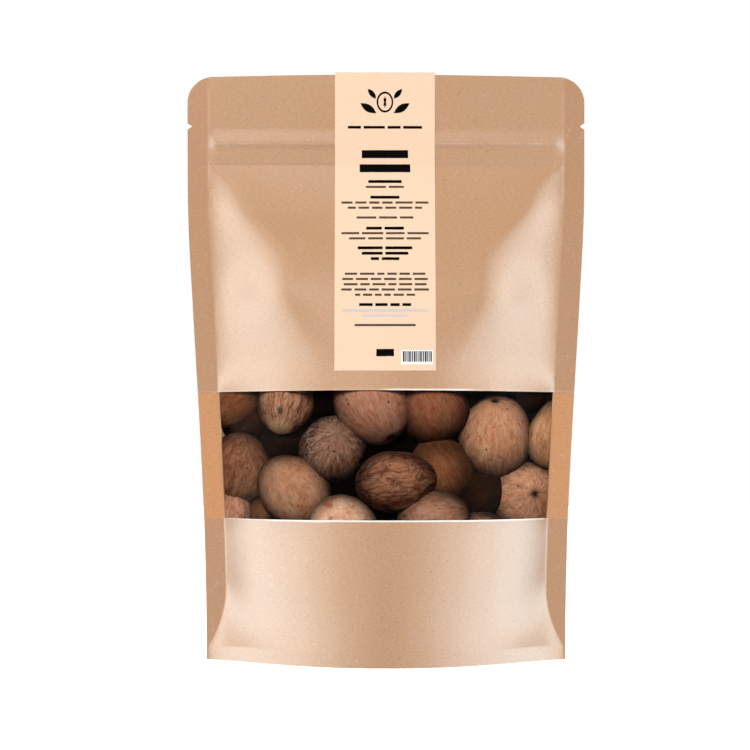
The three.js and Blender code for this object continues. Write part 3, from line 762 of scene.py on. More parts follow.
def seal_strips(form, material):
    """The back panel's inside over the side seals, where only clear film covers it."""
    parts = []
    for side in (-1, 1):
        z = rows(form.window_low - STRIP_OVERLAP, 1.0, form.window_high + STRIP_OVERLAP)
        outer, inner = form.half_width(z)[:, None] - STRIP_INSET, form.inner(z)[:, None]
        x = side * (inner + (outer - inner) * np.linspace(0.0, 1.0, 7))
        if side < 0:
            x = x[:, ::-1]
        y = np.full_like(x, -STRIP_BEHIND)
        points = np.stack([x, y, np.broadcast_to(z[:, None], x.shape)], -1)
        name = "kraft_seal_left" if side < 0 else "kraft_seal_right"
        parts.append(sheet(name, points, STRIP_LAYER, material))
    return parts


# --- film and label -------------------------------------------------------------------------


# The film's thickness, how far it goes behind the paper's cut edges, how deep it lies in the
# paper's thickness, and the share of its width that it stays inside the side edges.
FILM_STOCK, FILM_TUCK, FILM_DEEP, FILM_INSET = 0.05, 0.2, 0.06, 0.0005


def window_film(form, material):
    """The film from side edge to side edge, tucked behind the paper's cut edges."""
    z = rows(form.window_low, 0.9, form.window_high)
    x = form.columns(z, inside=120, seal=5)
    share = (z[:, None] - form.window_low) / (form.window_high - form.window_low)
    low = form.window_edge(x, "low") - FILM_TUCK
    high = form.window_edge(x, "high") + FILM_TUCK
    z = low + (high - low) * share
    y = form.front(x, z) + form.layer - FILM_DEEP
    x = x * (1.0 - FILM_INSET)
    return sheet("clear_window_film", np.stack([x, y, z], -1), FILM_STOCK, material)


LABEL_STOCK = 0.1
LABEL_OFF = 0.04

# The stiff label bridges the zip: heights, and how far it stands off the panel there.
LABEL_BRIDGE = ((131.0, 0.0), (137.6, 0.53), (146.6, 0.53), (152.0, 0.0))

# How far each print lies off the label's face, so that none is buried in another.
WHITE_OFF, FADED_OFF, INK_OFF = 0.01, 0.02, 0.03


class LabelForm:
    """The label lies on the front panel. x and z are measured on the pouch, in millimetres."""

    def __init__(self, form):
        self.form = form
        self.low = LABEL_LOW.z / MM
        self.high = LABEL_HIGH.z / MM
        self.left = LABEL_LOW.x / MM
        self.right = LABEL_HIGH.x / MM

    def surface(self, x, z, off=0.0):
        """A point on the label's face, or off it. Over the zip the stiff label bridges the relief."""
        held = np.minimum(z, self.form.height)
        bridge = np.interp(held, *zip(*LABEL_BRIDGE))
        level = self.form.layer + self.form.half_gap(x, held) + bridge + self.form.creases(x, held, -1)
        y = self.form.middle(x, held) - level - LABEL_OFF - LABEL_STOCK
        return np.stack([x, y - off, z], -1)


def label_stock(label, material):
    """The label itself, square-cut."""
    z = rows(label.low, 0.9, 136.4, 0.25, 147.0, 0.9, label.high)
    x = np.linspace(label.left, label.right, 40)
    x, z = np.meshgrid(x, z)
    return sheet("paper_label_stock", label.surface(x, z), LABEL_STOCK, material)


def printed_patches(label, name, patches, material, off):
    """Flat printed shapes on the label, each a grid of points given as x and z."""
    points, faces, first = [], [], 0
    for x, z in patches:
        tall, wide = x.shape
        points.append(label.surface(x, z, off).reshape(-1, 3))
        faces.append(grid_faces(wide, tall, first))
        first += tall * wide
    return make_object(name, np.concatenate(points), faces, material)


def bar(left, right, low, high):
    """A rectangle of print."""
    x = np.linspace(left, right, max(2, int((right - left) / 0.9) + 2))
    z = np.linspace(low, high, max(2, int((high - low) / 0.5) + 2))
    return np.meshgrid(x, z)


def disc(x, z, wide, tall, hole=0.0, turn=0.0, point=0.0):
    """An oval of print, or a ring if it has a hole. point draws its ends out, as on a leaf."""
    angle = np.linspace(0.0, 2.0 * np.pi, 41)
    reach = np.linspace(hole, 1.0, 4)[:, None]
    across = wide / 2 * reach * np.sin(angle) * np.abs(np.sin(angle)) ** point
    along = tall / 2 * reach * np.cos(angle)
    c, s = math.cos(math.radians(turn)), math.sin(math.radians(turn))
    return x + across * c + along * s, z - across * s + along * c


def greeked_line(centre, height, tall, wide, words, random):
    """Plain bars of uneven lengths in place of a line of words."""
    lengths = random.uniform(0.6, 1.4, words)
    gap = 0.75 if tall < 1.5 else 1.0
    lengths *= (wide - gap * (words - 1)) / lengths.sum()
    left = centre - wide / 2
    line = []
    for length in lengths:
        line.append(bar(left, left + length, height - tall / 2, height + tall / 2))
        left += length + gap
    return line


# Each block of print: height of its first line, spacing, line widths, height of a line, words.
# A line less tall than FINE_LINE is printed in the finer ink, which looks greyer.
FINE_LINE = 0.7
PRINT_BLOCKS = [
    (147.3, 1.5, [20.5], 0.75, 4),
    (139.9, 3.9, [12.8, 14.0], 2.2, 1),
    (132.3, 1.5, [9.2], 0.8, 1),
    (130.8, 1.5, [10.5], 0.6, 2),
    (127.9, 1.5, [8.0], 0.8, 1),
    (126.4, 1.45, [24.0, 20.5], 0.6, 6),
    (122.2, 1.5, [15.6], 0.6, 3),
    (119.2, 1.5, [10.4], 0.8, 2),
    (117.8, 1.45, [24.0, 19.8], 0.6, 4),
    (113.7, 1.5, [15.0, 12.8, 7.8], 0.8, 2),
    (106.5, 1.45, [22.0, 23.4, 22.6, 24.0, 16.4], 0.6, 6),
    (98.0, 1.5, [14.2], 0.8, 4),
    (92.4, 1.5, [16.6], 0.6, 1),
    (84.9, 1.5, [4.8], 2.0, 1),
]


# The faded lines: height, height of a line, and width.
FADED_LINES = ((96.4, 0.9, 23.5), (95.0, 0.8, 12.0))

# The drawing: a nutmeg's outline with three grooves, and a leaf to each side for each row of the
# table, given by how far it is from the middle, its height, width, length and turn.
NUT_HEIGHT, NUT_WIDE, NUT_TALL, NUT_HOLE = 154.3, 4.6, 5.8, 0.8
GROOVE_WIDE, GROOVE_TALL, GROOVE_TURN = 0.45, 3.4, 18.0
LEAVES = ((4.6, 152.6, 2.0, 5.2, 58.0), (3.6, 156.6, 1.4, 3.6, 40.0))

# The white patch at the lower right, and the plain stripes on it. Every third one is wide.
PATCH_INSET, PATCH_LOW, PATCH_WIDE, PATCH_TALL = 9.4, 81.7, 8.6, 3.9
STRIPES, STRIPE_STEP, STRIPE_THIN, STRIPE_THICK = 16, 0.5, 0.3, 0.4


def label_print(label, ink, fine, faded, white):
    """All print on the label: bars for words, in two inks, a small drawing of a nutmeg with four
    leaves, two faded lines, and a patch of plain stripes on white at the lower right."""
    random = np.random.default_rng(8)
    centre = (label.left + label.right) / 2
    dark, small = [], []
    for first, spacing, widths, tall, words in PRINT_BLOCKS:
        block = small if tall < FINE_LINE else dark
        for number, wide in enumerate(widths):
            block += greeked_line(centre, first - spacing * number, tall, wide, words, random)
    dark.append(disc(centre, NUT_HEIGHT, NUT_WIDE, NUT_TALL, hole=NUT_HOLE))
    for k in (-1, 0, 1):
        tall = GROOVE_TALL - abs(k)
        dark.append(disc(centre, NUT_HEIGHT, GROOVE_WIDE, tall, turn=GROOVE_TURN * k, point=0.5))
    for away, height, wide, tall, turn in LEAVES:
        dark += [disc(centre + away * k, height, wide, tall, turn=turn * k, point=1.2) for k in (-1, 1)]
    pale = []
    for height, tall, wide in FADED_LINES:
        pale += greeked_line(centre, height, tall, wide, 1, random)
    patch_left = label.right - PATCH_INSET
    box = [bar(patch_left, patch_left + PATCH_WIDE, PATCH_LOW, PATCH_LOW + PATCH_TALL)]
    for number in range(STRIPES):
        left = patch_left + 0.4 + STRIPE_STEP * number
        thick = STRIPE_THICK if number % 3 == 0 else STRIPE_THIN
        dark.append(bar(left, left + thick, PATCH_LOW + 0.7, PATCH_LOW + PATCH_TALL - 0.3))
    return [
        printed_patches(label, "label_white_patch", box, white, WHITE_OFF),
        printed_patches(label, "label_faded_print", pale, faded, FADED_OFF),
        printed_patches(label, "label_small_print", small, fine, INK_OFF),
        printed_patches(label, "label_dark_print", dark, ink, INK_OFF),
    ]


# --- nutmegs --------------------------------------------------------------------------------

# The nutmegs that show, in millimetres and degrees. They lie where those of the solids do, but for
# the small one at the left edge, which is a millimetre smaller and lies a little further in. x and
# z are the middle; length and width the size; tilt the angle of the long axis from upright; nod
# how far it tips to the front; deep how far the nutmeg lies behind the film. Its skin: wrinkle is
# the depth of the folds, net how clearly pale ridges show, streak how clearly lengthwise streaks
# do, and mark what its narrow end or side shows.
Nut = namedtuple("Nut", "x z length width tilt nod deep wrinkle net streak colour mark")
NUTMEGS = [
    Nut(-43.8, 73.6, 19.5, 18.0, 60, 10, 0, 0.1, 0.0, 0.5, "#845132", ""),
    Nut(-27.6, 72.0, 22.0, 16.6, 191, 40, 0, 0.28, 0.25, 1.0, "#B8815F", "hilum"),
    Nut(-14.6, 58.6, 21.0, 18.4, 20, 65, 2, 0.3, 1.0, 0.6, "#BB8A70", ""),
    Nut(-3.4, 70.8, 23.8, 22.0, 153, 28, 0, 0.05, 0.12, 0.7, "#B07A60", "eye"),
    Nut(-41.2, 52.8, 20.5, 19.0, 10, 15, 0.5, 0.22, 0.1, 0.6, "#906042", ""),
    Nut(-25.5, 46.8, 22.6, 19.0, -45, 10, 0, 0.05, 0.0, 0.4, "#B68767", ""),
    Nut(-43.6, 40.3, 14.5, 13.5, 15, 10, 0, 0.16, 0.1, 1.0, "#BC8768", ""),
    Nut(-12.2, 37.2, 19.5, 17.5, 80, 10, 0, 0.03, 0.0, 0.3, "#DEB494", "patches"),
    Nut(3.0, 49.6, 23.2, 17.0, 84, 5, 0.5, 0.36, 0.15, 0.7, "#9A664A", ""),
    Nut(12.6, 70.2, 21.0, 19.8, -20, 30, 1.5, 0.08, 0.05, 0.6, "#965E40", ""),
    Nut(15.0, 52.6, 20.0, 18.0, -25, 10, 5, 0.08, 0.0, 0.5, "#BA784E", ""),
    Nut(30.3, 62.0, 24.6, 20.6, -2, 33, 0, 0.08, 0.3, 1.0, "#CC9068", "eye"),
    Nut(46.7, 62.1, 19.8, 15.0, 5, 0, 0, 0.05, 0.0, 0.5, "#DFA679", ""),
    Nut(39.4, 44.9, 20.4, 19.6, 56, 78, 0, 0.14, 0.05, 0.6, "#CA936F", "eye"),
    Nut(13.0, 38.4, 20.4, 18.0, 75, 10, 0, 0.16, 0.1, 0.6, "#A2765D", ""),
    Nut(25.4, 35.4, 14.0, 12.0, 60, 0, 1, 0.3, 0.1, 0.8, "#9A6E54", ""),
    # Those below lie deep in the heap; their darkest colours are painted shade, far darker than a nutmeg's
    # own brown.
    Nut(26.2, 46.0, 16.0, 14.0, 40, 0, 7, 0.1, 0.0, 0.5, "#5C3420", ""),
    Nut(40.0, 76.0, 18.0, 15.0, 70, 0, 3, 0.1, 0.0, 0.5, "#3C2212", ""),
    Nut(23.5, 75.5, 17.0, 14.0, 10, 0, 7, 0.1, 0.0, 0.5, "#442B1C", ""),
    Nut(-15.8, 74.5, 17.0, 14.0, -10, 0, 7, 0.1, 0.0, 0.5, "#362218", ""),
    Nut(-38.0, 66.0, 16.0, 14.0, 75, 0, 4, 0.1, 0.0, 0.5, "#3C2418", ""),
    Nut(-34.5, 40.6, 12.0, 10.0, 30, 0, 4, 0.1, 0.0, 0.5, "#86603A", ""),
    Nut(-28.0, 60.0, 18.0, 15.0, 70, 0, 7, 0.1, 0.0, 0.5, "#42281C", ""),
]
EGG = 0.1  # how much blunter one end is
SEED_STEP = 13.7  # keeps the noise of one nutmeg apart from the next one's
FULL_HALF_WIDTH = 41.0  # nutmegs keep their own shape this far from the middle
CLEARANCE = 0.3  # between the nutmegs and what closes round them
DENT_DEPTH, EYE_DEPTH = 0.9, 0.9
EYE_ANGLE, HILUM_ANGLES = 8.0, (16.0, 34.0)  # degrees from the tip
SOFT_LEAST, SOFT_MORE, SOFT_RISE = 0.05, 1.2, (37.0, 42.0)  # how softly the film presses, and where

# A nutmeg this far behind the film or more lies in shadow, and takes a coarser grid. One in front
# whose folds are no deeper than SMOOTH_MOST counts as smooth.
DEEP_LEAST, SMOOTH_MOST = 3.0, 0.1
NEAR_GRID, DEEP_GRID = (128, 92), (72, 54)

# The heap's dark middle: its lowest height, how far it stays from the seals and the panels, and
# how far it is set back behind the window.
CORE_LOW, CORE_INSET, CORE_GAP, CORE_SETBACK = 12.0, 1.5, 1.2, 11.5

# Stains on nutmegs with a mark: across and up from its middle, half width and height, and colour.
STAINS = {
    "patches": ((-3.4, 6.2, 1.3, 0.9, "#9C5E3E"), (-2.9, 2.9, 1.1, 0.8, "#A86A48")),
    "hilum": ((-1.3, -2.7, 0.9, 1.3, "#3E3236"),),
}


def ball_grid(sides, rings):
    """Directions over a ball as rings of points from pole to pole, and its closed faces."""
    polar = np.linspace(0.0, np.pi, rings + 1)[1:-1, None]
    turn = np.linspace(0.0, 2.0 * np.pi, sides, endpoint=False)[None, :]
    x, y = np.sin(polar) * np.cos(turn), np.sin(polar) * np.sin(turn)
    ring = np.stack([x, y, np.broadcast_to(np.cos(polar), x.shape)], -1)
    points = np.concatenate([ring.reshape(-1, 3), [[0, 0, 1.0], [0, 0, -1.0]]])
    index = np.arange((rings - 1) * sides).reshape(rings - 1, sides)
    after = np.roll(index, -1, axis=1)
    quads = np.stack([index[:-1], index[1:], after[1:], after[:-1]], -1).reshape(-1, 4)
    top, bottom = len(points) - 2, len(points) - 1
    caps = [np.stack([index[0], after[0], np.full(sides, top)], -1)]
    caps.append(np.stack([after[-1], index[-1], np.full(sides, bottom)], -1))
    return points, quads, np.concatenate(caps)


def folds(lengthwise, seed):
    """Folds of the shell from 0 to 1 that run from end to end: (1 - |2n - 1|)^4 of smooth noise n
    at two sizes, on a place that is itself warped."""
    warp = np.stack([lattice_noise(lengthwise * 0.2, seed + k) for k in range(3)], -1) - 0.5
    drawn = (lengthwise + 3.0 * warp) * np.array([1.0, 1.0, 0.33])
    coarse = 1.0 - np.abs(2.0 * lattice_noise(drawn * 0.36, seed + 3) - 1.0)
    fine = 1.0 - np.abs(2.0 * lattice_noise(drawn * 0.85, seed + 4) - 1.0)
    return np.clip(0.6 * coarse**4 + 0.5 * fine**4, 0.0, 1.0)


def turned(points, tilt, nod):
    """Points turned so that their z axis tips to the front by nod, and then sideways by tilt."""
    n, t = math.radians(nod), math.radians(tilt)
    tip = np.array([[1, 0, 0], [0, math.cos(n), -math.sin(n)], [0, math.sin(n), math.cos(n)]])
    lean = np.array([[math.cos(t), 0, math.sin(t)], [0, 1, 0], [-math.sin(t), 0, math.cos(t)]])
    return points @ (lean @ tip).T


def nutmeg(form, nut, directions, seed):
    """One nutmeg: an egg with folds, turned, and set against the film or deeper. Near a seal it is
    thinner and is pressed into the room between the panels, with a soft limit at the film:
    s log(1 + e^(u/s)) for a distance u from it. Its colour carries painted light and shade: paler on
    top and darker below, darker round its sides, and darker the deeper it lies in the heap."""
    x, z, length, width, tilt, nod, deep, wrinkle, net, streak, colour, mark = nut
    egg = 1.0 - EGG * directions[:, 2:]
    half = np.array([width, width, length]) / 2
    place = directions * half * np.concatenate([egg, egg, np.ones_like(egg)], axis=1)
    flat = np.hypot(directions[:, 0], directions[:, 1])
    around = directions[:, :2] / np.maximum(flat, 1e-6)[:, None] * width / 2
    from_tip = np.arccos(np.clip(directions[:, 2], -1.0, 1.0))
    lengthwise = np.concatenate([around, from_tip[:, None] * length / 2], axis=1) + seed * SEED_STEP
    ends = smoothstep(flat, 0.1, 0.45)
    fold = folds(lengthwise, seed) * ends
    dents = lattice_noise(place * 0.16 + seed * 3.1, seed + 9) - 0.5
    tip_angle = np.degrees(from_tip)
    eye = hump(tip_angle, 0.0, EYE_ANGLE) if mark == "eye" else np.zeros_like(flat)
    hilum = 1.0 - smoothstep(tip_angle, *HILUM_ANGLES) if mark == "hilum" else np.zeros_like(flat)
    push = DENT_DEPTH * dents - wrinkle * fold * (1.0 - 0.8 * hilum) - EYE_DEPTH * eye
    points = turned(place + directions * push[:, None], tilt, nod)
    outward = points / np.linalg.norm(points, axis=1, keepdims=True)
    shaded, upward = 10.0 * (1.0 + outward[:, 1]) + deep, outward[:, 2]
    room = form.half_gap(np.clip(x, -FULL_HALF_WIDTH, FULL_HALF_WIDTH), z) - CLEARANCE
    thin = min(1.0, 2.0 * room / width)
    points[:, 1] *= thin
    px, pz = x + points[:, 0], z + points[:, 2]
    film = CLEARANCE - form.half_gap(px, pz)
    near = np.abs(px) < FULL_HALF_WIDTH
    py = points[:, 1] + (film - points[:, 1])[near].max() + deep * thin
    side = form.inner(pz) - CLEARANCE
    px = np.clip(px, -side, side)
    free = np.maximum(form.half_gap(px, pz) - CLEARANCE, 0.0)
    soft = SOFT_LEAST + SOFT_MORE * smoothstep(np.abs(px), *SOFT_RISE)
    limit = -free + wrinkle * fold
    py = np.minimum(limit + soft * np.logaddexp(0.0, (py - limit) / soft), np.maximum(free, limit))
    # Painted light and shade: darker where the surface turns away from the front and the deeper it lies,
    # paler where it faces up and darker where it faces down.
    painted_shading = (1.0 - 0.85 * smoothstep(shaded, 0.2, 8.2)) * (1.0 + 0.4 * upward)
    shaded_tints = np.array(linear(colour)[:3]) * painted_shading[:, None]
    # Painted highlight: the pale ridge lines show only on the upper left, where the light falls.
    lit_side_ridges = net * smoothstep(outward[:, 2] - 0.5 * outward[:, 0], -0.7, 0.5)
    for across, up, wide, tall, stain in STAINS.get(mark, ()):
        off = np.hypot((px - x - across) / wide, (pz - z - up) / tall) + 1.2 * dents
        share = (1.0 - smoothstep(off, 0.6, 1.1)) * (points[:, 1] < 0.0)
        shaded_tints += 0.8 * share[:, None] * (np.array(linear(stain)[:3]) - shaded_tints)
    furrows = np.full_like(flat, min(1.0, 0.12 + 1.4 * wrinkle))
    return {
        "points": np.stack([px, py, pz], -1),
        "seed_place": place + seed * SEED_STEP,
        "lengthwise": lengthwise,
        "shaded_tint": shaded_tints,
        "skin": np.stack([furrows, lit_side_ridges, np.full_like(flat, streak)], -1),
        "furrow": fold * min(1.0, 0.2 + 2.2 * wrinkle),
        "eye": np.clip(eye * 1.2, 0.0, 1.0),
        "hilum": 0.7 * hilum,
    }


def nutmeg_group(form, name, nuts, seeds, material, grid):
    """Nutmegs of one kind joined in one mesh."""
    directions, quads, caps = ball_grid(*grid)
    made = [nutmeg(form, nut, directions, seed) for nut, seed in zip(nuts, seeds)]
    count = len(directions)
    faces = []
    for number in range(len(made)):
        faces += [quads + number * count, caps + number * count]
    joined = {key: np.concatenate([m[key] for m in made]) for key in made[0]}
    return make_object(name, joined.pop("points"), faces, material, attributes=joined)


def heap_core(form, material):
    """The middle of the heap, painted dark as shadow: a lens that fills the room, set back behind the
    window.
    """
    z = rows(CORE_LOW, 1.2, HEAP_HIGH.z / MM)
    share = np.sin(np.linspace(-1.0, 1.0, 81) * np.pi / 2)
    inner = form.inner(z)[:, None] - CORE_INSET
    x = inner * share[None, :]
    z = np.broadcast_to(z[:, None], x.shape)
    window = smoothstep(z, form.window_low - 8, form.window_low - 3)
    window *= 1.0 - smoothstep(z, form.window_high + 4, form.window_high + 9)
    reach = np.maximum(form.bulge(z) - CORE_GAP, 0.0) * form.section(share[None, :], z)
    front = -reach + np.minimum(CORE_SETBACK * window, 1.7 * reach)
    tall, wide = x.shape
    points = np.concatenate(
        [np.stack([x, front, z], -1).reshape(-1, 3), np.stack([x, reach + 0.02, z], -1).reshape(-1, 3)]
    )
    faces = [grid_faces(wide, tall), grid_faces(wide, tall, wide * tall)[:, ::-1], rim_faces(wide, tall)]
    return make_object("heap_core", points, faces, material, sharp=SHARP_EDGE)


# --- studio ---------------------------------------------------------------------------------

# Pairs of softboxes that stand upright round the pouch and light its gloss alone: how far each is
# turned from the front in degrees, its lower and upper edge in metres, and its power in watts.
SOFTBOX_AWAY = 1.25
SOFTBOX_WIDE = 0.42
SOFTBOXES = [
    (37.0, 0.15, 1.05, 2.3),
    (56.0, 0.15, 1.05, 6.5),
    (18.0, -0.6, 0.15, 1.1),
    (37.0, -0.6, 0.15, 2.4),
    (56.0, -0.6, 0.15, 4.2),
    (75.0, -0.6, 0.15, 6.6),
    (132.0, 0.15, 1.05, 5.0),
]
# Linear red, green and blue: a little cool, so that the warm paper's gloss looks neutral.
SOFTBOX_COLOUR = (0.88, 1.0, 1.04)
# Two large soft lamps, one from above the left and one behind, give shape to what is dull.
KEY_PLACES = ((-0.2, -1.5, 0.7), (0.2, 1.5, 0.7))
KEY_SIZE = 0.5
KEY_WATTS = 30.2
KEY_AIM = (0.0, 0.0, 0.08)
ROOM_LIGHT = 0.13
FLOOR_GLOW = 0.9
FLOOR_REACH, FLOOR_LEVEL = 700.0, -0.05

# The level camera's place and how wide its view is at the pouch's middle, in metres, and its
# sensor in millimetres.
CAMERA_PLACE = (-0.00305, -0.6, 0.0788)
VIEW_WIDE = 0.208
SENSOR_WIDE = 36.0


def place_camera(scene):
    """The level camera in front of the pouch."""
    camera_data = bpy.data.cameras.new("studio_camera")
    camera_data.sensor_width = SENSOR_WIDE
    camera_data.lens = SENSOR_WIDE * -CAMERA_PLACE[1] / VIEW_WIDE
    camera = bpy.data.objects.new("studio_camera", camera_data)
    camera.location = CAMERA_PLACE
    camera.rotation_euler = (math.radians(90.0), 0.0, 0.0)
    scene.collection.objects.link(camera)
    scene.camera = camera


def lay_floor():
    """The pale floor, which glows a little so that it looks white."""
    material, tree = start_material("matte_white_floor")
    shader = add(
        tree, "ShaderNodeBsdfPrincipled",
        {
            "Base Color": linear("#F8F8F8"), "Roughness": 0.2,
            "Emission Color": linear("#FFFFFF"), "Emission Strength": FLOOR_GLOW,
        },
    )
    add(tree, "ShaderNodeOutputMaterial", {"Surface": shader.outputs[0]})
    x, y = np.meshgrid([-FLOOR_REACH, FLOOR_REACH], [-FLOOR_REACH, FLOOR_REACH])
    floor = np.stack([x, y, np.full_like(x, FLOOR_LEVEL)], -1).reshape(-1, 3)
    floor = make_object("studio_floor", floor, [grid_faces(2, 2)], material)
    floor.visible_glossy = floor.visible_diffuse = floor.visible_shadow = False


def stand_softboxes(scene):
    """Upright lamps in pairs on a circle round the pouch, each turned to its middle."""
    for number, (turn, low, high, watts) in enumerate(SOFTBOXES):
        for side in (-1, 1):
            light = bpy.data.lights.new(f"softbox_{number}", "AREA")
            light.shape = "RECTANGLE"
            light.size, light.size_y = SOFTBOX_WIDE, high - low
            light.energy = watts
            light.color = SOFTBOX_COLOUR
            box = bpy.data.objects.new(f"softbox_{number}", light)
            angle = math.radians(side * turn)
            across, forward = SOFTBOX_AWAY * math.sin(angle), -SOFTBOX_AWAY * math.cos(angle)
            box.location = (across, forward, (low + high) / 2)
            box.rotation_euler = (math.radians(90.0), 0.0, angle)
            box.visible_diffuse = False
            scene.collection.objects.link(box)


def hang_key_lamps(scene):
    """The lamps that light what is dull, and don't show in the gloss."""
    for place in KEY_PLACES:
        key = bpy.data.lights.new("key_softbox", "AREA")
        key.size = KEY_SIZE
        key.energy = KEY_WATTS
        lamp = bpy.data.objects.new("key_softbox", key)
        lamp.location = place
        aim = Vector(KEY_AIM) - Vector(place)
        lamp.rotation_euler = aim.to_track_quat("-Z", "Y").to_euler()
        lamp.visible_glossy = False
        scene.collection.objects.link(lamp)


def light_room(scene):
    """White where the camera looks past the pouch, and a dim even light on everything."""
    world = bpy.data.worlds.new("white_studio")
    world.use_nodes = True
    tree = world.node_tree
    tree.nodes.clear()
    seen = add(tree, "ShaderNodeLightPath").outputs["Is Camera Ray"]
    dim = add(tree, "ShaderNodeBackground", {"Color": linear("#FFFFFF"), "Strength": ROOM_LIGHT})
    white = add(tree, "ShaderNodeBackground", {"Color": linear("#FFFFFF"), "Strength": 1.0})
    both = add(tree, "ShaderNodeMixShader", {0: seen, 1: dim.outputs[0], 2: white.outputs[0]})
    add(tree, "ShaderNodeOutputWorld", {"Surface": both.outputs[0]})
    scene.world = world
    scene.view_settings.view_transform = "Standard"


# --- settings -------------------------------------------------------------------------------


class NutmegPouchSizes(bpy.types.PropertyGroup):
    """Sizes of the pouch, which start from the solids"""

    flat_width: bpy.props.FloatProperty(
        name="Flat width", description="Width of the empty pouch",
        default=POUCH_HIGH.x - POUCH_LOW.x, unit="LENGTH",
    )
    height: bpy.props.FloatProperty(
        name="Height", description="Height at the side seals",
        default=POUCH_HIGH.z - POUCH_LOW.z - TOP_CROWN * MM, unit="LENGTH",
    )
    base_bulge: bpy.props.FloatProperty(
        name="Base bulge", description="How far each panel stands out at the base",
        default=POUCH_HIGH.y - CAD_LAYER * MM, unit="LENGTH",
    )
    layer: bpy.props.FloatProperty(
        name="Paper", description="Thickness of the laminated paper", default=0.00015, unit="LENGTH"
    )
    seal_width: bpy.props.FloatProperty(
        name="Seal width", description="Width of the side seals", default=0.0057, unit="LENGTH"
    )
    window_low: bpy.props.FloatProperty(
        name="Window low", description="Lower edge of the window at the sides",
        default=FILM_LOW.z - FILM_GAP * MM, unit="LENGTH",
    )
    window_high: bpy.props.FloatProperty(
        name="Window high", description="Upper edge of the window at the sides",
        default=FILM_HIGH.z + (FILM_GAP - WINDOW_CROWN["high"]) * MM, unit="LENGTH",
    )


class NutmegPouchColours(bpy.types.PropertyGroup):
    """Colours of the paper, the label and its print"""

    kraft: bpy.props.FloatVectorProperty(
        name="Kraft", description="Colour of the paper", subtype="COLOR", size=4,
        default=linear("#BA8D67"), min=0.0, max=1.0,
    )
    covered_kraft: bpy.props.FloatVectorProperty(
        name="Kraft under film", description="Colour of the side seals beside the window",
        subtype="COLOR", size=4, default=linear("#CB8D59"), min=0.0, max=1.0,
    )
    label: bpy.props.FloatVectorProperty(
        name="Label", description="Colour of the label stock", subtype="COLOR", size=4,
        default=linear("#EECBAE"), min=0.0, max=1.0,
    )
    ink: bpy.props.FloatVectorProperty(
        name="Ink", description="Colour of the print", subtype="COLOR", size=4,
        default=linear("#080605"), min=0.0, max=1.0,
    )


# --- operators ------------------------------------------------------------------------------


def settle(piece, node):
    """The piece rides on the pouch and stands for its node, which is hidden."""
    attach(piece, "root")
    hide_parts(node)


class BuildKraftPanels(bpy.types.Operator):
    """Build the paper of the pouch: panels, gusset and seals"""

    bl_idname = "nutmeg_pouch.kraft_panels"
    bl_label = "Kraft panels"

    def execute(self, context):
        form = PouchForm(context.scene.nutmeg_pouch_sizes)
        colours = context.scene.nutmeg_pouch_colours
        paper = kraft_material("laminated_kraft_paper", colours.kraft, 0.6, 0.3)
        covered = kraft_material("kraft_paper_under_film", colours.covered_kraft, 0.6, 0.25)
        pieces = [front_upper(form, paper), front_lower(form, paper), back_panel(form, paper)]
        pieces += [gusset(form, paper), *seal_strips(form, covered)]
        for piece in pieces:
            settle(piece, "kraft_pouch")
        return {"FINISHED"}


class BuildWindowFilm(bpy.types.Operator):
    """Build the clear film across the window"""

    bl_idname = "nutmeg_pouch.window_film"
    bl_label = "Window film"

    def execute(self, context):
        form = PouchForm(context.scene.nutmeg_pouch_sizes)
        settle(window_film(form, film_material()), "window_film")
        return {"FINISHED"}


class BuildLabel(bpy.types.Operator):
    """Build the paper label and its plain print"""

    bl_idname = "nutmeg_pouch.label"
    bl_label = "Label"

    def execute(self, context):
        colours = context.scene.nutmeg_pouch_colours
        label = LabelForm(PouchForm(context.scene.nutmeg_pouch_sizes))
        stock = paper_material("matte_label_paper", colours.label, 0.15)
        ink = paper_material("black_label_ink", colours.ink, 0.02)
        fine = paper_material("fine_label_ink", linear("#54463A"), 0.02)
        faded = paper_material("faded_label_ink", linear("#CFC3BC"), 0.15)
        white = paper_material("white_label_ink", linear("#FAFAFA"), 0.15)
        for piece in [label_stock(label, stock), *label_print(label, ink, fine, faded, white)]:
            settle(piece, "paper_label")
        return {"FINISHED"}


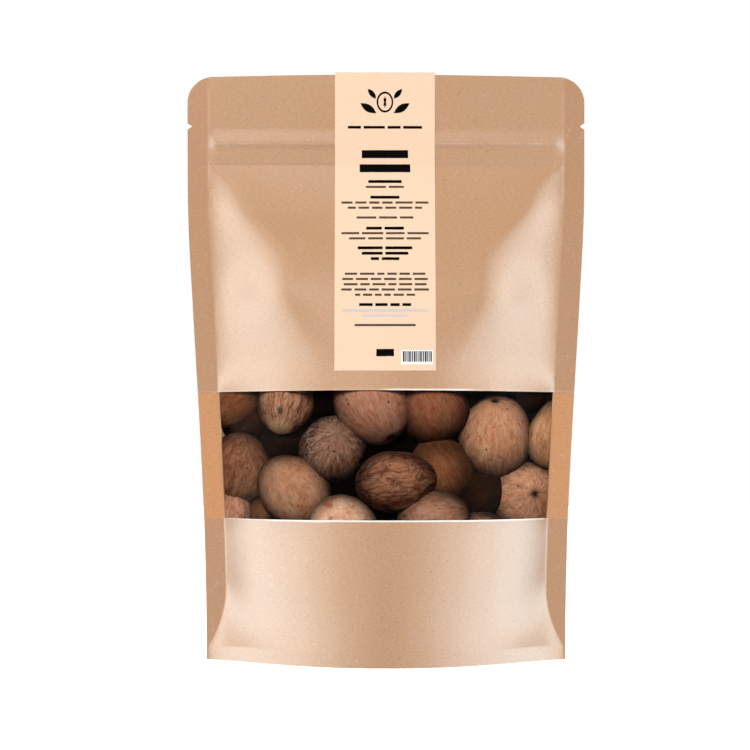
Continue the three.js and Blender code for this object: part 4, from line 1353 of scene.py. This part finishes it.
class BuildNutmegs(bpy.types.Operator):
    """Build the nutmegs that show and the dark heap behind them"""

    bl_idname = "nutmeg_pouch.nutmegs"
    bl_label = "Nutmegs"

    def execute(self, context):
        form = PouchForm(context.scene.nutmeg_pouch_sizes)
        shell = nutmeg_material()
        in_front = [nut for nut in NUTMEGS if nut.deep < DEEP_LEAST]
        behind = [nut for nut in NUTMEGS if nut.deep >= DEEP_LEAST]
        wrinkled = [nut for nut in in_front if nut.wrinkle > SMOOTH_MOST]
        smooth = [nut for nut in in_front if nut.wrinkle <= SMOOTH_MOST]
        seeds = range(1, 40)
        pieces = [
            nutmeg_group(form, "nutmegs_wrinkled", wrinkled, seeds, shell, NEAR_GRID),
            nutmeg_group(form, "nutmegs_smooth", smooth, seeds[12:], shell, NEAR_GRID),
            nutmeg_group(form, "nutmegs_behind", behind, seeds[24:], shell, DEEP_GRID),
            heap_core(form, shadow_material()),
        ]
        for piece in pieces:
            settle(piece, "nutmegs")
        return {"FINISHED"}


class BuildStage(bpy.types.Operator):
    """Build the floor, the lights and the camera"""

    bl_idname = "nutmeg_pouch.stage"
    bl_label = "Stage"

    def execute(self, context):
        place_camera(context.scene)
        lay_floor()
        stand_softboxes(context.scene)
        hang_key_lamps(context.scene)
        light_room(context.scene)
        return {"FINISHED"}


class NutmegPouchPanel(bpy.types.Panel):
    """Lists the steps that build the pouch"""

    bl_idname = "VIEW3D_PT_nutmeg_pouch"
    bl_label = "Nutmeg pouch"
    bl_space_type = "VIEW_3D"
    bl_region_type = "UI"
    bl_category = "Nutmeg pouch"

    def draw(self, context):
        layout = self.layout
        for group in (context.scene.nutmeg_pouch_sizes, context.scene.nutmeg_pouch_colours):
            for key in group.__annotations__:
                layout.prop(group, key)
        for step in STEPS:
            layout.operator(step.bl_idname)


STEPS = (BuildStage, BuildKraftPanels, BuildWindowFilm, BuildLabel, BuildNutmegs)
CLASSES = (NutmegPouchSizes, NutmegPouchColours, *STEPS, NutmegPouchPanel)


def register():
    for cls in CLASSES:
        bpy.utils.register_class(cls)
    bpy.types.Scene.nutmeg_pouch_sizes = bpy.props.PointerProperty(type=NutmegPouchSizes)
    bpy.types.Scene.nutmeg_pouch_colours = bpy.props.PointerProperty(type=NutmegPouchColours)


def unregister():
    del bpy.types.Scene.nutmeg_pouch_colours
    del bpy.types.Scene.nutmeg_pouch_sizes
    for cls in reversed(CLASSES):
        bpy.utils.unregister_class(cls)


def main():
    register()
    bpy.ops.nutmeg_pouch.stage()
    bpy.ops.nutmeg_pouch.kraft_panels()
    bpy.ops.nutmeg_pouch.window_film()
    bpy.ops.nutmeg_pouch.label()
    bpy.ops.nutmeg_pouch.nutmegs()


if __name__ == "__main__":
    main()
